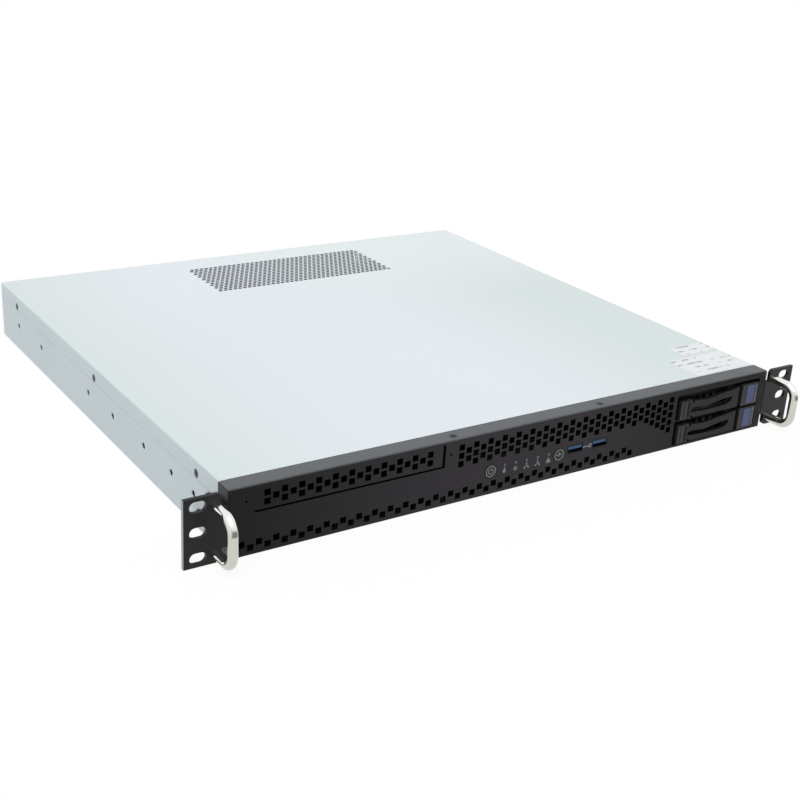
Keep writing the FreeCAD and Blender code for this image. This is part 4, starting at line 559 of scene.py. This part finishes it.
def screw_ring(x, y, level, radius, side):
    """A circle in a flange: y plus r sin t, and z plus r cos t, turned to run the same way round
    as seen from outside."""
    turn = np.radians(-135 + 360 / SCREW_SIDES * np.arange(SCREW_SIDES))
    return np.stack([np.full(SCREW_SIDES, x), y + radius * np.sin(turn),
                     level - side * radius * np.cos(turn)], axis=1)


def lid():
    """The folded lid with its perforated field.

    Its section times a row of stations along Y gives the outer grid; the inner grid is the same
    section moved inwards by the sheet's thickness. Over the vent each hole sits in a block of two
    cells, and a collar joins the block's six border points to the hole's twelve. The screw holes
    in the flanges are cones, each in three cells of its own.
    """
    low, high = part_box("top_cover")
    screw_low, screw_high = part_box("cover_screws")
    level = (screw_low[2] + screw_high[2]) / 2
    screws = [screw_low[1] + SCREW_HEAD, (screw_low[1] + screw_high[1]) / 2,
              screw_high[1] - SCREW_HEAD]
    vent_xs, vent_ys = vent_stations(high[1])
    rounds = [stations_round(y, vent_ys) for y in screws]
    ys = np.unique(np.concatenate([[low[1], high[1]], vent_ys] + rounds).round(9))

    flange_top = level + FLANGE_ROOM * SCREW_HEAD
    outer, inner = (lid_section(low, high, flange_top, vent_xs, inset) for inset in (0, LID_SHEET))
    n_u, n_y = len(outer), len(ys)
    skin = n_u * n_y
    index = np.arange(skin).reshape(n_u, n_y)
    full = np.ones((n_u - 1, n_y - 1), bool)

    def grid(section):
        points = np.empty((n_u, n_y, 3))
        points[..., 0], points[..., 1], points[..., 2] = section[:, :1], ys[None], section[:, 1:]
        return points.reshape(-1, 3)

    first_u = 2 + BEND_POINTS
    first_j = int(np.searchsorted(ys, vent_ys[0] - SAME))
    u, j, vent_top = vent_rings(outer, ys, first_u, first_j, len(vent_xs) // 2, len(vent_ys) - 1,
                                high[2])
    full[u, j] = full[u + 1, j] = False
    vent_border = np.stack([index[u, j], index[u + 1, j], index[u + 2, j], index[u + 2, j + 1],
                            index[u + 1, j + 1], index[u, j + 1]], axis=1)

    cone_border, cone_top, cone_foot = [], [], []
    for side, first, skin_x in ((-1, 0, low[0]), (1, n_u - 2, high[0])):
        for y, stations in zip(screws, rounds):
            j0 = int(np.searchsorted(ys, stations[0] - SAME))
            full[first, j0:j0 + 3] = False
            cone_border.append(np.concatenate([[index[first, j0]], index[first + 1, j0:j0 + 4],
                                               index[first, j0 + 3:j0:-1]]))
            cone_top.append(screw_ring(skin_x, y, level, SCREW_HEAD, side))
            cone_foot.append(screw_ring(skin_x - side * LID_SHEET, y, level, SCREW_SHANK, side))

    quads = np.stack([index[:-1, :-1][full], index[1:, :-1][full], index[1:, 1:][full],
                      index[:-1, 1:][full]], axis=1)
    vertices, faces = [grid(outer), grid(inner)], [quads, quads[:, ::-1] + skin]
    for rim, flip in ((index[:, 0], False), (index[:, -1], True), (index[0], True),
                      (index[-1], False)):
        strip = np.stack([rim[:-1], rim[:-1] + skin, rim[1:] + skin, rim[1:]], axis=1)
        faces.append(strip[:, ::-1] if flip else strip)
    count = 2 * skin
    for border, top, foot, shares in (
            (vent_border, vent_top, vent_top - (0, 0, LID_SHEET), (2,) * 6),
            (np.array(cone_border), np.array(cone_top), np.array(cone_foot), (4, 1, 2, 1) * 2)):
        vertices += [top.reshape(-1, 3), foot.reshape(-1, 3)]
        above = count + np.arange(top.size // 3).reshape(top.shape[:2])
        under = above + above.size
        count += 2 * above.size
        faces += collar(border, above, shares)
        faces += [triangle[:, ::-1] for triangle in collar(border + skin, under, shares)]
        wall = [above, np.roll(above, -1, axis=1), np.roll(under, -1, axis=1), under]
        faces.append(np.stack(wall, axis=-1).reshape(-1, 4))
    piece = surface("perforated_lid", np.concatenate(vertices), faces, "cover",
                    "lid_steel", True)
    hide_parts("top_cover")
    return screws, level


# ---- Printed marks --------------------------------------------------------------------------
INK = 0.00003                              # how far ink and the painted shade of recesses stand proud
THIN, SLIM, RIM, MID, BOLD = 0.00034, 0.00045, 0.0005, 0.00055, 0.0008     # breadths of strokes
BRANCH_DOT, PLUG_DOT = 0.0007, 0.0008
SIGN_DROP = 0.0042                         # from a status light down to its sign
PORT_SIGN_DROP = 0.0002


def circle(x, z, radius, start=0.0, end=360.0, steps=28):
    """Points round a centre: x plus r cos t, z plus r sin t."""
    t = np.radians(np.linspace(start, end, steps))
    return np.stack([x + radius * np.cos(t), z + radius * np.sin(t)], axis=1)


def disc(x, z, radius):
    """A filled dot drawn as a ribbon ring as wide as its radius."""
    return circle(x, z, radius / 2, steps=13), radius


def line(*points):
    """A path through the given points (x, z)."""
    return np.array(points, float)


def flat_ribbon(path, width):
    """A ribbon in the XZ plane: the path is offset to both sides by half the width.

    The normal at a point is the average direction of its two segments turned by a right angle,
    longer at a corner. A closed path repeats its first point. Returns points (x, z) and quads.
    """
    closed = np.allclose(path[0], path[-1])
    step = np.diff(path, axis=0)
    step /= np.linalg.norm(step, axis=1, keepdims=True)
    before = np.vstack([step[-1:] if closed else step[:1], step])
    after = np.vstack([step, step[:1] if closed else step[-1:]])
    along = before + after
    along /= np.linalg.norm(along, axis=1, keepdims=True)
    stretch = 1 / np.clip(np.sum(along * after, axis=1, keepdims=True), 0.5, 1)
    normal = np.stack([-along[:, 1], along[:, 0]], axis=1) * stretch
    n = len(path)
    i = np.arange(n - 1)
    points = np.concatenate([path + normal * width / 2, path - normal * width / 2])
    return points, np.stack([i, i + n, i + n + 1, i + 1], axis=1)


def moved(strokes, x, z):
    """The same strokes about another centre."""
    return [(path + (x, z), width) for path, width in strokes]


def printed(name, strokes, front, body):
    """Ink on a face that looks forward: ribbons at one depth, just proud of the face."""
    points, faces, count = [], [], 0
    for path, width in strokes:
        flat, quads = flat_ribbon(path, width)
        points.append(np.stack([flat[:, 0], np.full(len(flat), front - INK), flat[:, 1]], axis=1))
        faces.append(quads + count)
        count += len(flat)
    surface(name, np.concatenate(points), faces, body, "print_white")


def button_marks():
    """A ring on each button, round an open circle with a stroke or a bar with a small figure."""
    rim = (circle(0, 0, 0.0036, steps=33), RIM)
    signs = {
        "power_button": [rim, (circle(0, 0, 0.0018, 125, 415, 20), SLIM),
                         (line((0, 0.0004), (0, 0.0024)), SLIM)],
        "id_button": [rim, (line((-0.0026, 0), (0.0026, 0)), SLIM),
                      (circle(0, 0.0012, 0.0007, steps=13), THIN),
                      (line((0, -0.0012), (0, 0)), MID)],
    }
    for node, sign in signs.items():
        low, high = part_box(node)
        x, z = (low[0] + high[0]) / 2, (low[2] + high[2]) / 2
        printed("mark_" + node, moved(sign, x, z), low[1], node)


def front_marks():
    """Five signs under the status lights and a plug sign between the ports."""
    drop, globe, branch, warning = (
        [(line((0, 0.0027), (0, 0.0012)), MID), (circle(0, 0, 0.0008, steps=13), BOLD)],
        [(circle(0, 0, 0.0013, steps=17), THIN), (line((-0.0013, 0), (0.0013, 0)), THIN),
         (line((0, -0.0013), (0, 0.0013)), THIN)],
        [(line((0, 0.0027), (0, 0.0006)), MID),
         (line((-0.0015, -0.0012), (0, 0.0006), (0.0015, -0.0012)), MID),
         disc(-0.0015, -0.0012, BRANCH_DOT), disc(0.0015, -0.0012, BRANCH_DOT)],
        [(line((-0.0016, -0.0013), (0, 0.0017), (0.0016, -0.0013), (-0.0016, -0.0013)), MID),
         (line((0, -0.0009), (0, 0.0008)), BOLD)])
    low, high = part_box("status_light_pipes")
    radius = (high[2] - low[2]) / 2
    level = (low[2] + high[2]) / 2 - SIGN_DROP
    strokes = []
    for x, sign in zip(np.linspace(low[0] + radius, high[0] - radius, 5),
                       (drop, globe, branch, branch, warning)):
        strokes += moved(sign, x, level)
    plug = [(line((-0.0030, 0), (0.0016, 0)), MID), disc(-0.0030, 0, PLUG_DOT),
            (line((0.0012, -0.0010), (0.0030, -0.0010), (0.0030, 0.0010), (0.0012, 0.0010),
                  (0.0012, -0.0010)), MID)]
    low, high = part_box("front_usb_shells")
    strokes += moved(plug, (low[0] + high[0]) / 2, (low[2] + high[2]) / 2 - PORT_SIGN_DROP)
    printed("front_marks", strokes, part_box("front_bezel")[0][1], "chassis")


# ---- Labels, and screw recesses painted as shade --------------------------------------------
LABEL_PAPER, LABEL_CORNER = 0.00004, 0.0012
# Each label's left and right side from the lid's right bend, its near and far side from the front.
LABELS = {"front_label": (0.0545 - LID_BEND, 0.0007, 0.0010, 0.0320),
          "rear_label": (0.0350 - LID_BEND, 0.0007, 0.0360, 0.0520)}
LID_CROSS, BEZEL_CROSS = (0.0015, 0.00032), (0.0016, 0.0004)   # reach and half width of an arm
BEZEL_SCREW_X, BEZEL_SCREW_BACK = 0.0595, 0.0055               # from the middle, from the front


def slab(name, outline, low, high, body, finish, axis=2):
    """A thin plate: an outline of points pushed from one level to another along Z or X, with a
    fan from its middle on each side."""
    outline = np.asarray(outline, float)
    n = len(outline)
    first, second, across = {2: (0, 1, 2), 0: (1, 2, 0)}[axis]

    def at(level):
        flat = np.empty((n + 1, 3))
        flat[:n, first], flat[:n, second] = outline[:, 0], outline[:, 1]
        flat[n, first], flat[n, second] = outline.mean(axis=0)
        flat[:, across] = level
        return flat

    i = np.arange(n)
    k = (i + 1) % n
    top = np.stack([i, k, np.full(n, n)], axis=1)
    walls = np.stack([i + n + 1, k + n + 1, k, i], axis=1)
    faces = [top, top[:, ::-1] + n + 1, walls]
    surface(name, np.concatenate([at(high), at(low)]), faces, body, finish)


def rounded_box(x0, x1, y0, y1, radius):
    """Outline of a rectangle with quarter-circle corners, anticlockwise."""
    corners = ((x1 - radius, y0 + radius, -90), (x1 - radius, y1 - radius, 0),
               (x0 + radius, y1 - radius, 90), (x0 + radius, y0 + radius, 180))
    return np.concatenate([circle(x, y, radius, start, start + 90, 5) for x, y, start in corners])


def labels():
    """Two paper labels on the lid's front right corner."""
    (_, y0, _), (x1, _, z1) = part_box("top_cover")
    edge = x1 - LID_BEND
    for name, (left, right, near, far) in LABELS.items():
        outline = rounded_box(edge - left, edge - right, y0 + near, y0 + far, LABEL_CORNER)
        slab(name, outline, z1, z1 + LABEL_PAPER, "cover", "label_white")


def cross(arm, half):
    """Outline of a plus sign, anticlockwise: arm is its reach and half is half its width."""
    quarter = np.array([(arm, -half), (arm, half), (half, half)])
    turn = np.array([(0, 1), (-1, 0)])
    return np.concatenate([quarter @ np.linalg.matrix_power(turn, k) for k in range(4)])


def painted_recess_shade(screws, level):
    """Painted shade: flat black crosses standing for the recesses in the flush heads of the lid's
    and the bezel's screws.
    """
    (x0, _, _), (x1, _, _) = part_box("top_cover")
    # Painted shade: a flat black cross stands for each screw's recess.
    for side, low, high in (("left", x0 - INK, x0), ("right", x1, x1 + INK)):
        for number, y in enumerate(screws):
            slab("%s_lid_recess_shade_%d" % (side, number), cross(*LID_CROSS) + (y, level), low, high,
                 "cover", "recess_black", axis=0)
    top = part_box("bezel_screws")[1][2]
    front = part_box("front_bezel")[0][1]
    # Painted shade: a flat black cross stands for each bezel screw's recess.
    for number, x in enumerate((-BEZEL_SCREW_X, BEZEL_SCREW_X)):
        slab("bezel_recess_shade_%d" % number, cross(*BEZEL_CROSS) + (x, front + BEZEL_SCREW_BACK), top,
             top + INK, "chassis", "recess_black")


lid_screws, screw_level = lid()
button_marks()
front_marks()
labels()
painted_recess_shade(lid_screws, screw_level)


# ---- Camera, floor and light ----------------------------------------------------------------
CAMERA_YAW, CAMERA_PITCH, CAMERA_ROLL = 0.6000, 0.3938, 0.0617             # radians
CAMERA_PLACE = (-0.495934, -0.774762, 0.365834)
CAMERA_LENS, CAMERA_SENSOR, CAMERA_NEAR = 58.11, 36, 0.01
FLOOR_HALF, FLOOR_GREY = 12.0, (0.55, 0.55, 0.55, 1)
FLOOR_GLOW, FLOOR_SHARE = 1.08, 0.85       # the white seen on the floor, and how much it covers
SKY_ON_OBJECT, SKY_IN_METAL = 0.55, 0.85
LAMP_STRENGTH, LAMP_SPREAD, LAMP_AIM = 1.55, math.radians(50), (0.25, 0.35, -1)


def add_camera():
    """Looking down at the left front corner, with a slight roll."""
    sine, cosine = math.sin(CAMERA_PITCH), math.cos(CAMERA_PITCH)
    ahead = Vector((math.sin(CAMERA_YAW) * cosine, math.cos(CAMERA_YAW) * cosine, -sine))
    level = Vector((math.cos(CAMERA_YAW), -math.sin(CAMERA_YAW), 0))
    upright = level.cross(ahead)
    right = level * math.cos(CAMERA_ROLL) + upright * math.sin(CAMERA_ROLL)
    up = upright * math.cos(CAMERA_ROLL) - level * math.sin(CAMERA_ROLL)
    camera = bpy.data.objects.new("camera", bpy.data.cameras.new("camera"))
    camera.data.lens = CAMERA_LENS
    camera.data.sensor_width = CAMERA_SENSOR
    camera.data.clip_start = CAMERA_NEAR
    turn = Matrix((right, up, -ahead)).transposed()
    camera.matrix_world = Matrix.Translation(CAMERA_PLACE) @ turn.to_4x4()
    bpy.context.collection.objects.link(camera)
    bpy.context.scene.camera = camera


def larger(tree, first, second):
    """The larger of two values in a node tree."""
    node = tree.nodes.new("ShaderNodeMath")
    node.operation = "MAXIMUM"
    tree.links.new(first, node.inputs[0])
    tree.links.new(second, node.inputs[1])
    return node.outputs[0]


def add_floor():
    """A wide pale floor just under the pan. Seen directly, in metal or through glass it is nearly
    white and keeps the soft shadow."""
    half, low = FLOOR_HALF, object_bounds()[0][2]
    mesh = bpy.data.meshes.new("floor")
    mesh.from_pydata([(-half, -half, low), (half, -half, low), (half, half, low),
                      (-half, half, low)], [], [(0, 1, 2, 3)])
    floor = bpy.data.objects.new("floor", mesh)
    bpy.context.collection.objects.link(floor)
    material = bpy.data.materials.new("floor_pale")
    material.use_nodes = True
    tree = material.node_tree
    nodes, links = tree.nodes, tree.links
    nodes.clear()
    diffuse = nodes.new("ShaderNodeBsdfDiffuse")
    diffuse.inputs["Color"].default_value = FLOOR_GREY
    glow = nodes.new("ShaderNodeEmission")
    glow.inputs["Strength"].default_value = FLOOR_GLOW
    ray = nodes.new("ShaderNodeLightPath").outputs
    seen = larger(tree, ray["Is Camera Ray"], ray["Is Glossy Ray"])
    seen = larger(tree, seen, ray["Is Transmission Ray"])
    share = nodes.new("ShaderNodeMath")
    share.operation = "MULTIPLY"
    share.inputs[1].default_value = FLOOR_SHARE
    mix = nodes.new("ShaderNodeMixShader")
    out = nodes.new("ShaderNodeOutputMaterial")
    links.new(seen, share.inputs[0])
    links.new(share.outputs[0], mix.inputs[0])
    links.new(diffuse.outputs[0], mix.inputs[1])
    links.new(glow.outputs[0], mix.inputs[2])
    links.new(mix.outputs[0], out.inputs["Surface"])
    mesh.materials.append(material)


def add_light():
    """An even pale sky, brighter in reflections and white behind the object, and one broad lamp
    from above, to the left of the camera."""
    world = bpy.data.worlds.new("studio")
    bpy.context.scene.world = world
    world.use_nodes = True
    tree = world.node_tree
    sky = tree.nodes["Background"].inputs
    sky["Color"].default_value = (1, 1, 1, 1)
    ray = tree.nodes.new("ShaderNodeLightPath").outputs
    reflected = tree.nodes.new("ShaderNodeMapRange")
    reflected.inputs["To Min"].default_value = SKY_ON_OBJECT
    reflected.inputs["To Max"].default_value = SKY_IN_METAL
    tree.links.new(ray["Is Glossy Ray"], reflected.inputs["Value"])
    tree.links.new(larger(tree, reflected.outputs[0], ray["Is Camera Ray"]), sky["Strength"])
    lamp = bpy.data.lights.new("overhead", "SUN")
    lamp.energy = LAMP_STRENGTH
    lamp.angle = LAMP_SPREAD
    overhead = bpy.data.objects.new("overhead", lamp)
    overhead.rotation_euler = Vector(LAMP_AIM).to_track_quat("-Z", "Y").to_euler()
    bpy.context.collection.objects.link(overhead)


add_camera()
add_floor()
add_light()
bpy.context.scene.view_settings.view_transform = "Standard"
